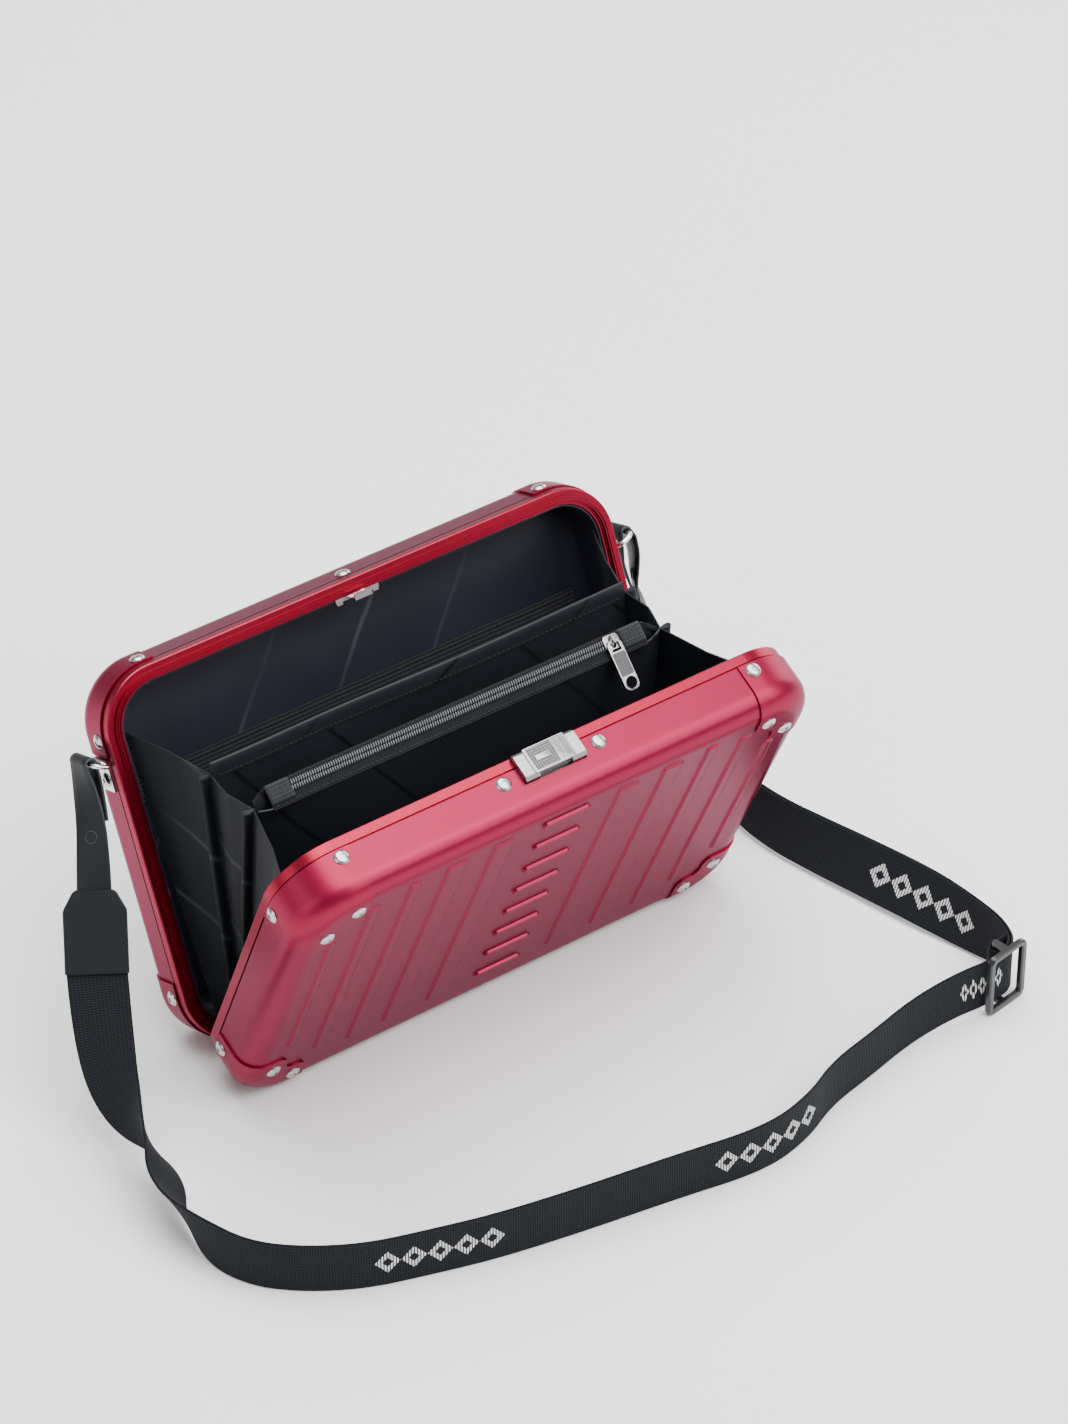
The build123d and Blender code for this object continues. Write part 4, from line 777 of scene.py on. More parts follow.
def make_end(side, route, wide, hide, thread):
    """Sewn leather end piece that grips the tab above and the webbing below."""
    word = "left" if side < 0 else "right"
    line = smooth_line(f"end_line_{word}", [Vector(place) for place in route])
    marks = distances(line)
    flare = 10 * MM
    widths = []
    for mark in marks:
        share = min(1.0, mark / flare)
        corner = max(0.0, 1 - mark / (1.6 * MM))
        widths.append(END_NARROW + (END_WIDE - END_NARROW) * share - 2.4 * MM * corner ** 2)
    profile = [(-1.0, 0.0), (-0.995, 0.55), (-0.975, 0.80), (-0.93, 0.88), (-0.88, 0.89), (-0.84, 0.88),
               (-0.79, 0.93), (-0.70, 0.97), (-0.35, 1.0), (0.0, 1.0), (0.35, 1.0), (0.70, 0.97), (0.79, 0.93),
               (0.84, 0.88), (0.88, 0.89), (0.93, 0.88), (0.975, 0.80), (0.995, 0.55), (1.0, 0.0)]
    piece, normals = band(f"strap_end_leather_{word}", line, [wide] * len(line), widths, 4.2 * MM, profile=profile)
    finish_piece(piece, hide, "back_half", [f"strap_end_{word}"], smooth=radians(60))
    runs = []
    ways = headings(line)
    for face in (-1, 1):
        edges = {-1: [], 1: []}
        for place, way, normal, width, mark in zip(line, ways, normals, widths, marks):
            if 2.2 * MM < mark < marks[-1] - 2.0 * MM:
                flat = (wide - way * wide.dot(way)).normalized()
                for hand in (-1, 1):
                    edges[hand].append((place + flat * (hand * (width / 2 - 2.3 * MM)) + normal * (face * 1.75 * MM),
                                        normal * face))
        for hand in (-1, 1):
            runs.append(edges[hand])
        for end in (0, -1):
            first, last = edges[-1][end], edges[1][end]
            crown = first[1] * 0.25 * MM
            runs.append([(first[0].lerp(last[0], step / 4) + crown * sin(pi * step / 4), first[1])
                         for step in range(5)])
    seam = stitches(f"strap_end_stitches_{word}", runs, thread, "back_half")
    return piece, seam


# Cloth inside: lining trays, back pocket, divider, zip pocket and gussets
LINING_INSET, LINING_FLOOR, LINING_TURN, CLOTH_WALL = 8.7 * MM, 28.8 * MM, 6.6 * MM, 0.8 * MM
CATCH_NOTCH, NOTCH_DEPTH = 14 * MM, 7.3 * MM
STRAIGHT_SHARES = [-1, -0.85, -0.7, -0.55, -0.4, -0.25, -0.124, -0.1167, 0, 0.1167, 0.124, 0.25, 0.4, 0.55, 0.7, 0.85]


def rounded_outline(inset):
    """Points round the case's outline drawn inwards, from the lower left corner on: x, height and outward way."""
    radius = max(CORNER_RADIUS - inset, 0.4 * MM)
    half, high = CASE_WIDTH / 2 - inset - radius, PANEL_HEIGHT / 2 - inset - radius
    middle = PANEL_HEIGHT / 2
    points = []
    for number, (side, level) in enumerate(((1, -1), (1, 1), (-1, 1), (-1, -1))):
        base = number * pi / 2 - pi / 2
        for step in range(7):
            angle = base + step * pi / 12
            way = (cos(angle), sin(angle))
            points.append((side * half + radius * way[0], middle + level * high + radius * way[1], way))
        following = base + pi / 2
        way = (cos(following), sin(following))
        run = high if number % 2 == 0 else half
        for share in STRAIGHT_SHARES[1:]:
            along = (-way[1], way[0])
            spot = (way[0] * (half + radius), middle + way[1] * (high + radius))
            points.append((spot[0] + along[0] * share * run, spot[1] + along[1] * share * run, way))
    return points


def make_tray(name, place, material, node, seed):
    """Cloth glued into a half: walls, a rounded turn and a floor with slight waves."""
    drop = LINING_FLOOR - LINING_TURN
    stations = [(LINING_INSET, 1 * MM + (drop - 1 * MM) * step / 5, 0) for step in range(6)]
    for step in range(1, 6):
        angle = step * pi / 10
        stations.append((LINING_INSET + LINING_TURN * (1 - cos(angle)), drop + LINING_TURN * sin(angle), 0))
    floor_inset = LINING_INSET + LINING_TURN
    for more in (4, 9, 15, 22, 30, 39, 49, 59, 69, 78, 84.6):
        stations.append((floor_inset + more * MM, LINING_FLOOR, 1))
    unrolled = [0.0]
    for before, after in zip(stations, stations[1:]):
        unrolled.append(unrolled[-1] + Vector((after[0] - before[0], after[1] - before[1])).length)
    wall_run = unrolled[10]
    rows, flats = [], []
    for (inset, depth, on_floor), run in zip(stations, unrolled):
        row = []
        for x, height, way in rounded_outline(inset):
            wave = ripple((x, height), 28, seed) * (0.9 if on_floor else 0.35) * MM
            depth_here = depth
            if height > PANEL_HEIGHT / 2 and abs(x) < CATCH_NOTCH and way[1] > 0.99:
                depth_here = max(depth, NOTCH_DEPTH)
            lift = wave if on_floor else 0
            inwards = 0 if on_floor else abs(wave) * min(1.0, run / (8 * MM))
            row.append(place @ Vector((x - way[0] * inwards, height - way[1] * inwards, depth_here - abs(lift))))
        rows.append(row)
        flats.append([(x, height) for x, height, _ in rounded_outline(floor_inset - wall_run + run)])
    piece = grid(name, rows, ring=True, flats=flats)
    apply(piece, "SOLIDIFY", thickness=CLOTH_WALL, offset=0.0)
    finish_piece(piece, material, node.replace("lining", "half"), [node])
    return piece


def cloth_panel(name, place, spans, shape, material, wall=CLOTH_WALL, density=(40, 24)):
    """Panel of cloth over (left, right, low, high) of a frame; shape gives its height off the frame."""
    left, right, low, high = spans
    rows = []
    for step in range(density[1] + 1):
        level = low + (high - low) * step / density[1]
        row = []
        for across in range(density[0] + 1):
            x = left + (right - left) * across / density[0]
            row.append(place @ Vector(shape(x, level)))
        rows.append(row)
    piece = grid(name, rows)
    apply(piece, "SOLIDIFY", thickness=wall, offset=0.0)
    return piece


def make_back_pocket(cloth, ribs, thread):
    """Flat back pocket with pleats under its gathered elastic edge."""
    half, low, high = 131.7 * MM, 22 * MM, 128 * MM
    face = 27.6 * MM

    def pouch(x, level):
        share = (level - low) / (high - low)
        edge = max(0.0, 1 - (abs(x) / half) ** 6)
        pleat = sin(x / (7.2 * MM)) * 0.7 * MM * share ** 3
        belly = (1.6 * MM * sin(pi * share) + 1.0 * MM * share) * edge
        return x, level, face - belly - pleat * edge - ripple((x, level), 30, 4) * 0.4 * MM

    def gathered(x, level):
        share = (level - 126 * MM) / (13 * MM)
        gather = sin(x / (1.9 * MM)) * 0.10 * MM
        return x, level + ripple((x, 0), 25, 2) * 0.6 * MM, face - 1.6 * MM - gather - 0.5 * MM * sin(pi * share)

    sheet = cloth_panel("back_pocket_cloth", BACK, (-half, half, low, high), pouch, cloth, density=(110, 24))
    finish_piece(sheet, cloth, "back_half", ["back_pocket"])
    band_piece = cloth_panel("elastic_edge", BACK, (-half, half, 126 * MM, 139 * MM), gathered, ribs, wall=1.2 * MM,
                             density=(220, 5))
    finish_piece(band_piece, ribs, "back_half", ["elastic_band"])
    runs = []
    for level in (128.2 * MM, 136.8 * MM):
        runs.append([(BACK @ Vector((x * MM, level, face - 2.85 * MM)), -axis(BACK, 2)) for x in range(-130, 131, 4)])
    stitches("elastic_stitches", runs, thread, "back_half")


def make_divider(cloth, thread):
    """Stiffened cloth between the compartments, with a folded hem along its top."""
    half, low, top = DIVIDER_HALF, PANEL_LOW, DIVIDER_TOP

    def sway(x, level):
        share = (level - low) / (top - low)
        wave = (ripple((x, level), 11, 7) * 1.3 + 0.7 * sin(x / (31 * MM))) * MM * share
        sag = 1.2 * MM * cos(pi * x / (2 * half)) * share
        return x, level - sag, wave * (1 - (abs(x) / half) ** 4)

    sheet = cloth_panel("divider_cloth", DIVIDER, (-half, half, low, top), sway, cloth, wall=0.9 * MM, density=(60, 30))
    finish_piece(sheet, cloth, "divider", ["divider"])
    profile = [(-9.0, -0.75), (-4.0, -0.85), (-0.8, -0.95), (0.15, -0.6), (0.45, 0.0), (0.15, 0.6), (-0.8, 0.95),
               (-4.0, 0.85), (-9.0, 0.75)]
    rows = []
    for step in range(61):
        x = -half + 2 * half * step / 60
        _, level, wave = sway(x, top)
        rows.append([DIVIDER @ Vector((x, level + up * MM, wave + out * MM)) for up, out in profile])
    hem = grid("divider_hem", rows)
    apply(hem, "SOLIDIFY", thickness=0.5 * MM, offset=0.0)
    finish_piece(hem, cloth, "divider")
    runs = []
    for face in (-1, 1):
        run = []
        for step in range(62):
            x = -half + 3 * MM + (2 * half - 6 * MM) * step / 61
            _, level, wave = sway(x, top)
            run.append((DIVIDER @ Vector((x, level - 7.4 * MM, wave + face * 1.1 * MM)), axis(DIVIDER, 2) * face))
        runs.append(run)
    stitches("divider_stitches", runs, thread, "divider")


ZIP_SPOT = POCKET @ Vector((0, 161.5 * MM, 0))
ZIP_SLOPE = radians(40)
ZIP = Matrix.Translation(ZIP_SPOT) @ Matrix((Vector((1, 0, 0)), Vector((0, cos(ZIP_SLOPE), sin(ZIP_SLOPE))),
                                              Vector((0, -sin(ZIP_SLOPE), cos(ZIP_SLOPE))))).transposed().to_4x4()
TAPE_LEFT, TAPE_RIGHT = -112 * MM, 108 * MM
TAPE_FRONT, TAPE_BACK = -8 * MM, 5 * MM


def pocket_edge(x, zip_y):
    """Point of the zip pocket's mouth; beyond the zip it closes down to the side seams."""
    beyond = max(0.0, x - TAPE_RIGHT, TAPE_LEFT - x) / (11.5 * MM)
    spot = POCKET.inverted() @ (ZIP @ Vector((x, zip_y, -0.3 * MM)))
    share = min(1.0, beyond) ** 1.4
    return spot.y * (1 - share) + 156.5 * MM * share, spot.z * (1 - share) + 0.2 * MM * share


def make_zip_pocket(cloth, tape_cloth, patch_cloth, thread):
    """Bag of the zip pocket: flat back wall, rounded front wall, both sewn to the zip tapes."""
    half, low = POCKET_HALF, PANEL_LOW

    def front_wall(x, level):
        share = (level - low) / (152 * MM - low)
        side = 1 - min(1.0, abs(x) / half) ** 7
        belly = sin(pi * min(1.0, max(0.0, share)) ** 1.3) * (1 - (x / half) ** 2) * 3.4 * MM
        fold = ripple((x, level), 14, 11) * 1.1 * MM * sin(pi * min(1.0, share)) if share > 0 else 0
        return (5.5 * MM + belly + fold) * side + 0.3 * MM

    rows = []
    for step in range(29):
        level = low + (150 * MM - low) * step / 28
        rows.append([POCKET @ Vector((x, level, front_wall(x, level)))
                     for x in [half * (place / 40 - 1) for place in range(81)]])
    for mix in (0.5, 1.0):
        row = []
        for x in [half * (place / 40 - 1) for place in range(81)]:
            up, out = pocket_edge(x, TAPE_FRONT + 1.2 * MM)
            start = front_wall(x, 150 * MM)
            row.append(POCKET @ Vector((x, 150 * MM + (up - 150 * MM) * mix, start + (out - start) * mix)))
        rows.append(row)
    front = grid("zip_pocket_front", rows)
    apply(front, "SOLIDIFY", thickness=CLOTH_WALL, offset=0.0)
    finish_piece(front, cloth, "zip_pocket", ["zip_pocket"])

    rows = []
    for step in range(25):
        level = low + (157 * MM - low) * step / 24
        rows.append([POCKET @ Vector((x, level, -0.45 * MM - abs(ripple((x, level), 12, 5)) * 0.6 * MM))
                     for x in [half * (place / 30 - 1) for place in range(61)]])
    row = []
    for x in [half * (place / 30 - 1) for place in range(61)]:
        up, out = pocket_edge(x, TAPE_BACK - 1.2 * MM)
        row.append(POCKET @ Vector((x, up, out - 0.5 * MM)))
    rows.append(row)
    back = grid("zip_pocket_back", rows)
    apply(back, "SOLIDIFY", thickness=CLOTH_WALL, offset=0.0)
    finish_piece(back, cloth, "zip_pocket", ["zip_pocket"])

    tapes = make_end_patches(patch_cloth)
    for word, near, far in (("front", TAPE_FRONT, -0.5 * MM), ("back", 0.5 * MM, TAPE_BACK)):
        rows = []
        for step in range(95):
            x = TAPE_LEFT + (TAPE_RIGHT - TAPE_LEFT) * step / 94
            wave = ripple((x, near), 20, 9) * 0.35 * MM
            row = []
            for place in range(7):
                across = near + (far - near) * place / 6
                outer = abs(across) / (8 * MM)
                row.append(ZIP @ Vector((x, across, wave * outer - 0.25 * MM * outer ** 2)))
            rows.append(row)
        tape = grid(f"zip_tape_{word}", rows)
        apply(tape, "SOLIDIFY", thickness=0.7 * MM, offset=0.0)
        tapes.append(finish_piece(tape, tape_cloth, "zip_pocket", ["zip_tape"]))
    runs = []
    for across in (TAPE_FRONT + 1.4 * MM, TAPE_BACK - 1.0 * MM):
        runs.append([(ZIP @ Vector((x * MM, across, 0.22 * MM)), axis(ZIP, 2)) for x in range(-111, 108, 3)])
    stitches("zip_stitches", runs, thread, "zip_pocket", length=1.9 * MM, pitch=2.6 * MM,
             radius=0.24 * MM)


def make_coil(nylon):
    """Closed coil: two rows of slanted rounded teeth."""
    vertices, faces = [], []
    pitch, count = 1.35 * MM, 142
    for row in (-1, 1):
        for number in range(count):
            middle = -98.4 * MM + pitch * (number + (0.25 if row > 0 else -0.25))
            base = len(vertices)
            for step, (across, rise, thick) in enumerate(((0.1, 0.55, 0.34), (0.5, 0.75, 0.5), (1.6, 0.85, 0.5),
                                                           (2.3, 0.7, 0.48), (2.75, 0.3, 0.3))):
                centre = Vector((middle + row * (across - 1.5) * 0.16 * MM, row * across * MM, (0.35 + rise * 0.7) * MM))
                for turn in range(6):
                    angle = turn * pi / 3
                    vertices.append(ZIP @ (centre + Vector((cos(angle), 0, sin(angle))) * (thick * MM)))
                if step:
                    for turn in range(6):
                        after = (turn + 1) % 6
                        lower, upper = base + (step - 1) * 6, base + step * 6
                        faces.append((lower + turn, lower + after, upper + after, upper + turn))
            faces.append(tuple(base + turn for turn in reversed(range(6))))
            faces.append(tuple(base + 24 + turn for turn in range(6)))
    mesh = bpy.data.meshes.new("zip_coil_teeth")
    mesh.from_pydata(vertices, [], faces)
    piece = outward_faces(new_piece("zip_coil_teeth", mesh))
    return finish_piece(piece, nylon, "zip_pocket", ["zip_coil"])


def make_end_patches(cloth):
    """Woven patches sewn over both ends of the zip."""
    patches = []
    for word, middle in (("left", TAPE_LEFT + 6.55 * MM), ("right", TAPE_RIGHT - 6.55 * MM)):
        rows = []
        for step in range(37):
            row = []
            for place in range(29):
                along, across = step / 36 * 2 - 1, place / 28 * 2 - 1
                edge = max(0.0, 1 - max(abs(along), abs(across)) ** 10)
                knot = (abs(sin(along * 4 * pi)) * abs(sin(across * 3 * pi))) ** 0.6
                row.append(ZIP @ Vector((middle + along * 6.25 * MM, -0.5 * MM + across * 4.8 * MM,
                                         (0.3 + edge * (0.95 + 0.35 * knot)) * MM)))
            rows.append(row)
        patch = grid(f"zip_patch_{word}", rows)
        apply(patch, "SOLIDIFY", thickness=0.5 * MM, offset=-1.0)
        patches.append(finish_piece(patch, cloth, "zip_pocket", ["zip_ends"]))
    return patches


GUSSET_LOW, GUSSET_TOP, GUSSET_RIM = 14 * MM, 156 * MM, 3 * MM
FLAP_WIDTH, FLAP_WALL = 7.4 * MM, 3.2 * MM
FLAP_PROFILE = [(-1.0, 0.0), (-0.97, 0.30), (-0.75, 0.42), (-0.45, 0.55), (-0.1, 0.80), (0.3, 0.98), (0.6, 1.0),
                (0.84, 0.78), (0.97, 0.40), (1.0, 0.0)]


def gusset_stops(height):
    """Where a gusset's panels meet at a height over the hinge line: x and y of its four edges."""
    share = (height - GUSSET_LOW) / (GUSSET_TOP - GUSSET_LOW)
    edge = (134 + 5.6 * share) * MM
    panel = (height + GUSSET_RIM * sin(OPEN)) / cos(OPEN)
    reach = panel * sin(OPEN) + GUSSET_RIM * cos(OPEN)
    pocket_y = height * sin(POCKET_TILT) / cos(POCKET_TILT)
    divider_y = height * sin(DIVIDER_TILT) / cos(DIVIDER_TILT)
    return [(edge, -reach), (POCKET_HALF + 1 * MM, pocket_y), (DIVIDER_HALF + 1 * MM, divider_y), (edge, reach)]


def gusset_point(side, panel, across, height, bow):
    """Point of one panel of a gusset: share across it, and height over the hinge line."""
    stops = gusset_stops(height)
    (near_x, near_y), (far_x, far_y) = stops[panel], stops[panel + 1]
    x = near_x + (far_x - near_x) * across
    y = near_y + (far_y - near_y) * across
    return Vector((side * (x + bow), y, HINGE.z + height))


# For each panel: where its blend from the back half to the front half starts and ends in y,
# then how far it bows outwards, and its flat width
GUSSET_PANELS = [
    ("front", (0.0560, -0.0714), -2.0, 0.055),
    ("middle", (0.4526, -0.4000), 3.0, 0.036),
    ("rear", (0.0714, -0.0290), -2.0, 0.052),
]


def make_gussets(cloth, thread):
    for side, word in ((-1, "left"), (1, "right")):
        node = f"gusset_{word}"
        for body, stop in (("zip_pocket", 1), ("divider", 2)):
            centres = []
            for step in range(31):
                height = GUSSET_LOW + (GUSSET_TOP - GUSSET_LOW) * step / 30
                x, y = gusset_stops(height)[stop]
                curl = ripple((height, x), 18, side) * 0.5 * MM
                centres.append(Vector((side * (x + 2.6 * MM), y + curl, HINGE.z + height)))
            flap, _ = band(f"seam_flap_{body}_{word}", centres, [Vector((side, 0, 0))] * len(centres),
                           [FLAP_WIDTH] * len(centres), FLAP_WALL, profile=FLAP_PROFILE)
            finish_piece(flap, cloth, body, [node], smooth=radians(60))
            runs = []
            for face in (-1, 1):
                run = []
                for step in range(31):
                    height = GUSSET_LOW + (GUSSET_TOP - GUSSET_LOW) * step / 30
                    x, y = gusset_stops(height)[stop]
                    curl = ripple((height, x), 18, side) * 0.5 * MM
                    run.append((Vector((side * (x + 0.9 * MM), y + curl + face * 0.92 * MM, HINGE.z + height)),
                                Vector((0, face, 0))))
                runs.append(run)
            stitches(f"seam_flap_stitches_{body}_{word}", runs, thread, body, length=1.8 * MM,
                     pitch=2.6 * MM, radius=0.22 * MM)
        for panel, (label, ramp, bow, width) in enumerate(GUSSET_PANELS):
            def spot(across, share):
                height = GUSSET_LOW + (GUSSET_TOP - GUSSET_LOW) * share
                wave = ripple((across * 0.05, height), 24, side * 3 + panel) * 0.8 * MM
                crease = -abs(across - 0.5) * 2 + 1
                pinch = sin(pi * across)
                return gusset_point(side, panel, across, height,
                                    (bow * crease * (0.4 + 0.6 * share)) * MM + wave * pinch)

            rows = [[spot(place / 14, step / 30) for place in range(15)] for step in range(31)]
            piece = grid(f"gusset_{label}_{word}", rows)
            apply(piece, "SOLIDIFY", thickness=CLOTH_WALL, offset=0.0)
            finish_piece(piece, cloth, None, [node], smooth=radians(50))
            line = [[(spot(0.03 if end == 0 else 0.97, step / 30) + Vector((side * 0.55 * MM, 0, 0)),
                      Vector((side, 0, 0))) for step in range(31)] for end in (0, 1)]
            seam = stitches(f"gusset_seam_{label}_{word}", line, thread, None, length=1.8 * MM,
                            pitch=2.6 * MM, radius=0.22 * MM)
            for part in (piece, seam):
                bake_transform(part)


# Metal pieces shaped from primitives
def primitive(kind, name, **settings):
    """New primitive mesh, alone in the selection."""
    bpy.ops.object.select_all(action="DESELECT")
    getattr(bpy.ops.mesh, f"primitive_{kind}_add")(**settings)
    piece = bpy.context.object
    piece.name = name
    return piece


def plate(name, size, corner=0.0, edge=0.0, spot=(0, 0, 0)):
    """Box with rounded upright corners and softened edges."""
    piece = primitive("cube", name, size=1, location=spot, scale=size)
    bpy.ops.object.transform_apply(location=True, rotation=True, scale=True)
    if corner:
        bpy.ops.object.mode_set(mode="EDIT")
        bpy.ops.mesh.select_mode(type="EDGE")
        bpy.ops.mesh.select_all(action="DESELECT")
        shape = bmesh.from_edit_mesh(piece.data)
        for line in shape.edges:
            run = line.verts[0].co - line.verts[1].co
            line.select_set(abs(run.z) > 0.9 * run.length)
        bmesh.update_edit_mesh(piece.data)
        bpy.ops.mesh.bevel(offset=corner, segments=6, affect="EDGES")
        bpy.ops.object.mode_set(mode="OBJECT")
    if edge:
        apply(piece, "BEVEL", width=edge, segments=3, limit_method="ANGLE", angle_limit=radians(50))
    return piece


def cut(piece, tool):
    """Take one closed piece out of another."""
    apply(piece, "BOOLEAN", operation="DIFFERENCE", solver="EXACT", object=tool)
    bpy.data.objects.remove(tool)


def joined(pieces, name):
    """Several pieces as one object."""
    bpy.ops.object.select_all(action="DESELECT")
    for piece in pieces:
        piece.select_set(True)
    bpy.context.view_layer.objects.active = pieces[0]
    bpy.ops.object.join()
    pieces[0].name = name
    return pieces[0]


def put(piece, place):
    """Move a piece's mesh to its place, with the object left at the origin."""
    piece.data.transform(place @ piece.matrix_basis)
    piece.matrix_basis = Matrix.Identity(4)
    return outward_faces(piece)


SLIDER_SPOT, SLIDER_ROOF, SLIDER_TOP, PULL_FALL = 89 * MM, 1.5 * MM, 2.4 * MM, radians(45)


def make_slider(metal, field):
    """Zip slider with a round crown, and its pull with a sunk field and a round hole."""
    place = ZIP @ Matrix.Translation((SLIDER_SPOT, 0, 0))
    roof = plate("slider_roof", (9.0 * MM, 8.0 * MM, 0.9 * MM), 2.2 * MM, 0.28 * MM, (0, 0, 1.95 * MM))
    base = plate("slider_base", (9.0 * MM, 8.0 * MM, 0.9 * MM), 2.2 * MM, 0.28 * MM, (0, 0, -0.95 * MM))
    post = plate("slider_post", (4.0 * MM, 0.7 * MM, 2.4 * MM), 0.0, 0.0, (0, 0, 0.5 * MM))
    rails = [plate("slider_rail", (6.4 * MM, 0.7 * MM, 0.9 * MM), 0.0, 0.2 * MM, (0, side * 3.62 * MM, 1.2 * MM))
             for side in (-1, 1)]
    crown = primitive("torus", "slider_crown", major_radius=2.65 * MM, minor_radius=0.8 * MM, major_segments=36,
                      minor_segments=14, location=(0, 0, SLIDER_TOP - 0.1 * MM), rotation=(0, pi / 2, 0))
    body = put(joined([roof, base, post, *rails, crown], "zip_slider_body"), place)
    finish_piece(body, metal, "zip_slider", ["zip_slider"])

    turn = Matrix((Vector((1, 0, 0)), Vector((0, cos(PULL_FALL), sin(PULL_FALL))),
                   Vector((0, -sin(PULL_FALL), cos(PULL_FALL))))).transposed().to_4x4()
    place = Matrix.Translation(ZIP @ Vector((SLIDER_SPOT, 0, SLIDER_TOP + 1 * MM))) @ turn
    tag = plate("zip_pull_tag", (8.6 * MM, 27 * MM, 1.2 * MM), 3.4 * MM, 0.22 * MM, (0, -12.8 * MM, 0))
    cut(tag, plate("window", (5.4 * MM, 4.6 * MM, 4 * MM), 0.8 * MM, 0.0, (0, -3.0 * MM, 0)))
    cut(tag, primitive("cylinder", "hole", vertices=32, radius=3.0 * MM, depth=4 * MM, location=(0, -22.3 * MM, 0)))
    for side in (-1, 1):
        cut(tag, plate("sunk", (7.3 * MM, 12.4 * MM, 0.6 * MM), 1.0 * MM, 0.0, (0, -12.2 * MM, side * 0.62 * MM)))
    bar = primitive("cylinder", "bar", vertices=16, radius=0.7 * MM, depth=6.6 * MM, rotation=(0, pi / 2, 0))
    collar = primitive("torus", "collar", major_radius=3.22 * MM, minor_radius=0.26 * MM, major_segments=32,
                       minor_segments=8, location=(0, -22.3 * MM, 0.56 * MM))
    tag = put(joined([tag, bar, collar], "zip_pull_tag"), place)
    finish_piece(tag, metal, "zip_pull", ["zip_pull"])
    fields = [plate("field", (7.1 * MM, 12.2 * MM, 0.12 * MM), 0.9 * MM, 0.0, (0, -12.2 * MM, side * 0.37 * MM))
              for side in (-1, 1)]
    finish_piece(put(joined(fields, "zip_pull_field"), place), field, "zip_pull")


LATCH_TOP, LATCH_MIDDLE = 204 * MM, 7.3 * MM
CREST_WIDTH, SILL_SIZE = 23.6 * MM, (8.2 * MM, 2.6 * MM)
KNURL_MIDDLE, KNURL_PITCH, KNURL_COUNT = -3.6 * MM, 1.36 * MM, 9
BEAD_COLUMNS, BEAD_PITCH, RIB_COLUMNS = (5.6 * MM, 9.0 * MM), 1.5 * MM, (-11.0 * MM, 4.2 * MM, 7.3 * MM, 10.9 * MM)


def make_knurl(metal, field):
    """Pressed top of the latch lever: small pyramids round a plain plate over a dark sheet of painted shade, and two
    rows of beads.
    """
    face = Matrix((Vector((1, 0, 0)), Vector((0, 0, -1)), Vector((0, 1, 0)))).transposed().to_4x4()
    place = FRONT @ Matrix.Translation((0, LATCH_TOP, LATCH_MIDDLE)) @ face
    crest = plate("crest", (CREST_WIDTH, 13.6 * MM, 0.5 * MM), 0.7 * MM, 0.15 * MM, (0, 0, 0))
    # Thin dark sheet under the pyramids: painted shade in the gaps of the knurl.
    shade_sheet = plate("latch_painted_shade_sheet", (13.4 * MM, 12.2 * MM, 0.1 * MM), 0.4 * MM, 0.0, (KNURL_MIDDLE, 0, 0.27 * MM))
    finish_piece(put(shade_sheet, place), field, "latch_lever")
    seed = primitive("cone", "pyramid", vertices=4, radius1=0.74 * MM, radius2=0.22 * MM, depth=0.44 * MM,
                     rotation=(0, 0, pi / 4))
    bpy.ops.object.transform_apply(location=False, rotation=True, scale=False)
    spots = []
    for column in range(KNURL_COUNT):
        for row in range(KNURL_COUNT):
            x, y = ((step - KNURL_COUNT / 2 + 0.5) * KNURL_PITCH for step in (column, row))
            if abs(x) > SILL_SIZE[0] / 2 or abs(y) > SILL_SIZE[1] / 2:
                spots.append((seed, (KNURL_MIDDLE + x, y, 0.44 * MM)))
    bead = primitive("uv_sphere", "bead", segments=12, ring_count=6, radius=0.46 * MM)
    for x in BEAD_COLUMNS:
        spots += [(bead, (x, (row - 3.5) * BEAD_PITCH, 0.26 * MM)) for row in range(8)]
    knobs = []
    for model, spot in spots:
        knob = model.copy()
        knob.data = model.data.copy()
        knob.data.transform(Matrix.Translation(spot))
        knob.matrix_basis = Matrix.Identity(4)
        bpy.context.scene.collection.objects.link(knob)
        knobs.append(knob)
    for spare in (seed, bead):
        bpy.data.objects.remove(spare)
    sill = plate("sill", (*SILL_SIZE, 0.3 * MM), 0.4 * MM, 0.08 * MM, (KNURL_MIDDLE, 0, 0.36 * MM))
    ribs = [plate("rib", (0.4 * MM, 12.4 * MM, 0.3 * MM), 0.0, 0.08 * MM, (x, 0, 0.32 * MM)) for x in RIB_COLUMNS]
    piece = put(joined([crest, sill, *ribs, *knobs], "latch_knurl"), place)
    finish_piece(piece, metal, "latch_lever", smooth=radians(20))


def make_snap_mark(word, tab, spot, hide):
    """Round mark that a snap's cap presses into the outer face of a tab."""
    _, centres, _, normals = tab
    index = min(range(len(centres) // 2, len(centres)), key=lambda place: (centres[place] - Vector(spot)).length)
    out = normals[index]
    turn = out.to_track_quat("Z", "Y").to_matrix().to_4x4()
    for face in (-1, 1):
        place = Matrix.Translation(centres[index] + out * (face * 0.76 * MM)) @ turn
        mark = primitive("torus", f"snap_mark_{word}", major_radius=3.1 * MM, minor_radius=0.26 * MM,
                         major_segments=36, minor_segments=8)
        finish_piece(put(mark, place), hide, "back_half")


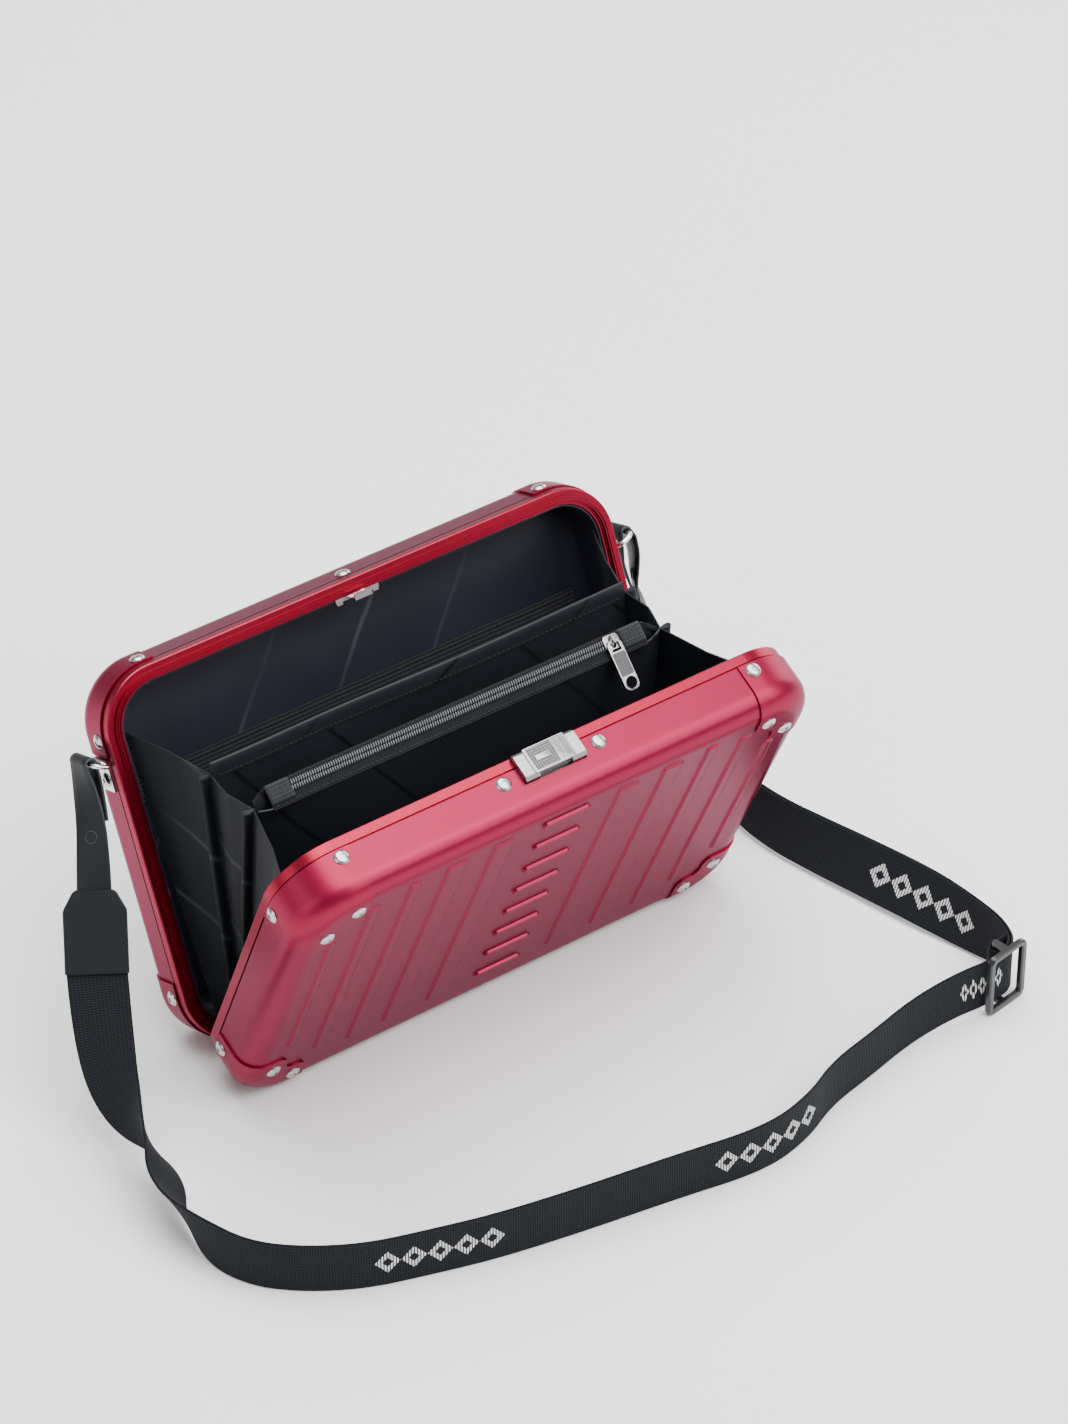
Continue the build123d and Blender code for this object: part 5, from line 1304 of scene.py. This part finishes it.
# Finishes, and the CAD nodes that take them as they are
GRAZING_RED = (0.50, 0.50, 0.55)
RED_SHELL = anodised("red_shell", (0.25, 0.004, 0.036), 0.0)
RED_FRONT = anodised("red_front", (0.25, 0.004, 0.036), -OPEN)
RED_RIM = anodised("red_rim", (0.31, 0.004, 0.028), 0.0, brushed=0.1, rough=0.27, relief=0.08)
RED_CORNER = anodised("red_corner", (0.28, 0.004, 0.038), 0.0, brushed=0.15, rough=0.38)
RIVET = bare_metal("rivet_nickel", (0.55, 0.545, 0.54), 0.18)
CHROME = bare_metal("chrome", (0.80, 0.80, 0.81), 0.12, scratch=0.12)
NICKEL = bare_metal("latch_nickel", (0.40, 0.39, 0.385), 0.24)
ZIP_METAL = bare_metal("zip_metal", (0.30, 0.30, 0.305), 0.22)
PULL_FIELD = bare_metal("pull_field", (0.085, 0.085, 0.09), 0.40)
# Dark metal for the gaps of the latch knurl: painted shade.
LATCH_PAINTED_SHADE = bare_metal("latch_painted_shade", (0.10, 0.098, 0.095), 0.40)
BLACK_METAL = coated_black("black_metal")
LINING = lining_cloth("lining_cloth_finish")
PANEL_CLOTH = lining_cloth("panel_cloth_finish", tone=(0.0085, 0.0095, 0.013), stripe=(0.002, 0.002, 0.003),
                           slant=radians(-35))
GUSSET_CLOTH = lining_cloth("gusset_cloth_finish", tone=(0.0030, 0.0043, 0.0062), stripe=(0.022, 0.026, 0.033),
                            slant=radians(60), pitch=0.041, width=0.11, wear=16.0, shine=0.50, level=0.16)
# The second colour of each ribbed cloth is a painted highlight on its rib crests.
ELASTIC = ribbed_cloth("elastic_finish", (0.0035, 0.0040, 0.0050), (0.026, 0.028, 0.032), 2.1 * MM, along_rib=False)
TAPE = ribbed_cloth("zip_tape_finish", (0.0020, 0.0024, 0.0030), (0.010, 0.011, 0.013), 0.75 * MM)
PATCH = ribbed_cloth("zip_patch_finish", (0.004, 0.005, 0.006), (0.045, 0.048, 0.053), 0.9 * MM)
COIL = moulded_nylon("zip_coil_finish")
HIDE = leather("leather_finish", LEATHER_WIDTH)
END_HIDE = leather("end_leather_finish", END_WIDE)
WEB = webbing_cloth("webbing_finish")
THREAD = plain_thread("thread_finish", (0.010, 0.011, 0.014))
PALE_THREAD = plain_thread("pale_thread_finish", (0.016, 0.017, 0.020))

NODE_FINISHES = {
    "front_shell": RED_FRONT,
    "back_shell": RED_SHELL,
    "front_rim": RED_RIM,
    "back_rim": RED_RIM,
    "front_hinge_leaf": RED_RIM,
    "back_hinge_leaf": RED_RIM,
    "hinge_pin": NICKEL,
    "front_rivets": RIVET,
    "back_rivets": RIVET,
    "front_hinge_rivets": RIVET,
    "back_hinge_rivets": RIVET,
    "latch_base": NICKEL,
    "latch_lever": NICKEL,
    "latch_pin": NICKEL,
    "catch": CHROME,
    "bracket_left": CHROME,
    "bracket_right": CHROME,
    "ring_left": CHROME,
    "ring_right": CHROME,
    "zip_slider": ZIP_METAL,
    "zip_pull": ZIP_METAL,
    "strap_loop": BLACK_METAL,
    "strap_adjuster": BLACK_METAL,
    "strap_studs": RIVET,
}
for half in ("front", "back"):
    for level in ("top", "bottom"):
        for side in ("left", "right"):
            NODE_FINISHES[f"{half}_corner_{level}_{side}"] = RED_CORNER
for node, finish in NODE_FINISHES.items():
    for entry in frame["nodes"][node].material_slots:
        entry.material = finish

webbing, strap_centres, webbing_pieces = make_webbing(WEB, webbing_cloth)
left_tab = make_tab(-1, LEFT_TAB, LEFT_WIDE, LEFT_GAPS, HIDE)
right_tab = make_tab(1, RIGHT_TAB, RIGHT_WIDE, RIGHT_GAPS, HIDE)
left_end = make_end(-1, LEFT_END, LEFT_WIDE, END_HIDE, THREAD)
right_end = make_end(1, RIGHT_END, RIGHT_WIDE, END_HIDE, THREAD)
[tuple(point) for point in strap_centres]
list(webbing_pieces)
for tab, ring in ((left_tab, "ring_left"), (right_tab, "ring_right")):
    distances(tab[1])[-1]

make_tray("front_lining_tray", FRONT, LINING, "front_lining", 1)
make_tray("back_lining_tray", BACK, LINING, "back_lining", 6)
make_back_pocket(LINING, ELASTIC, THREAD)
make_divider(PANEL_CLOTH, THREAD)
make_zip_pocket(PANEL_CLOTH, TAPE, PATCH, PALE_THREAD)
make_coil(COIL)
make_slider(ZIP_METAL, PULL_FIELD)
make_knurl(NICKEL, LATCH_PAINTED_SHADE)
make_snap_mark("left", left_tab, (-0.1705, 0.0565, 0.1245), HIDE)
make_snap_mark("right", right_tab, (0.1702, 0.0779, 0.120), HIDE)
make_gussets(GUSSET_CLOTH, THREAD)

# Floor, light and view
bpy.ops.object.select_all(action="DESELECT")
bpy.ops.mesh.primitive_plane_add(size=9)
floor = bpy.context.object
floor.name = "floor"
floor_finish = Paint("floor_finish", roughness=0.9, specular_ior_level=0.2)
floor_cloud = floor_finish.noise(floor_finish.place(), 3.0, 2.0)
floor_finish.set("base color", floor_finish.mix(floor_cloud, (0.86, 0.86, 0.86), (0.89, 0.89, 0.89)))
floor.data.materials.append(floor_finish.material)
make_studio()
make_camera()
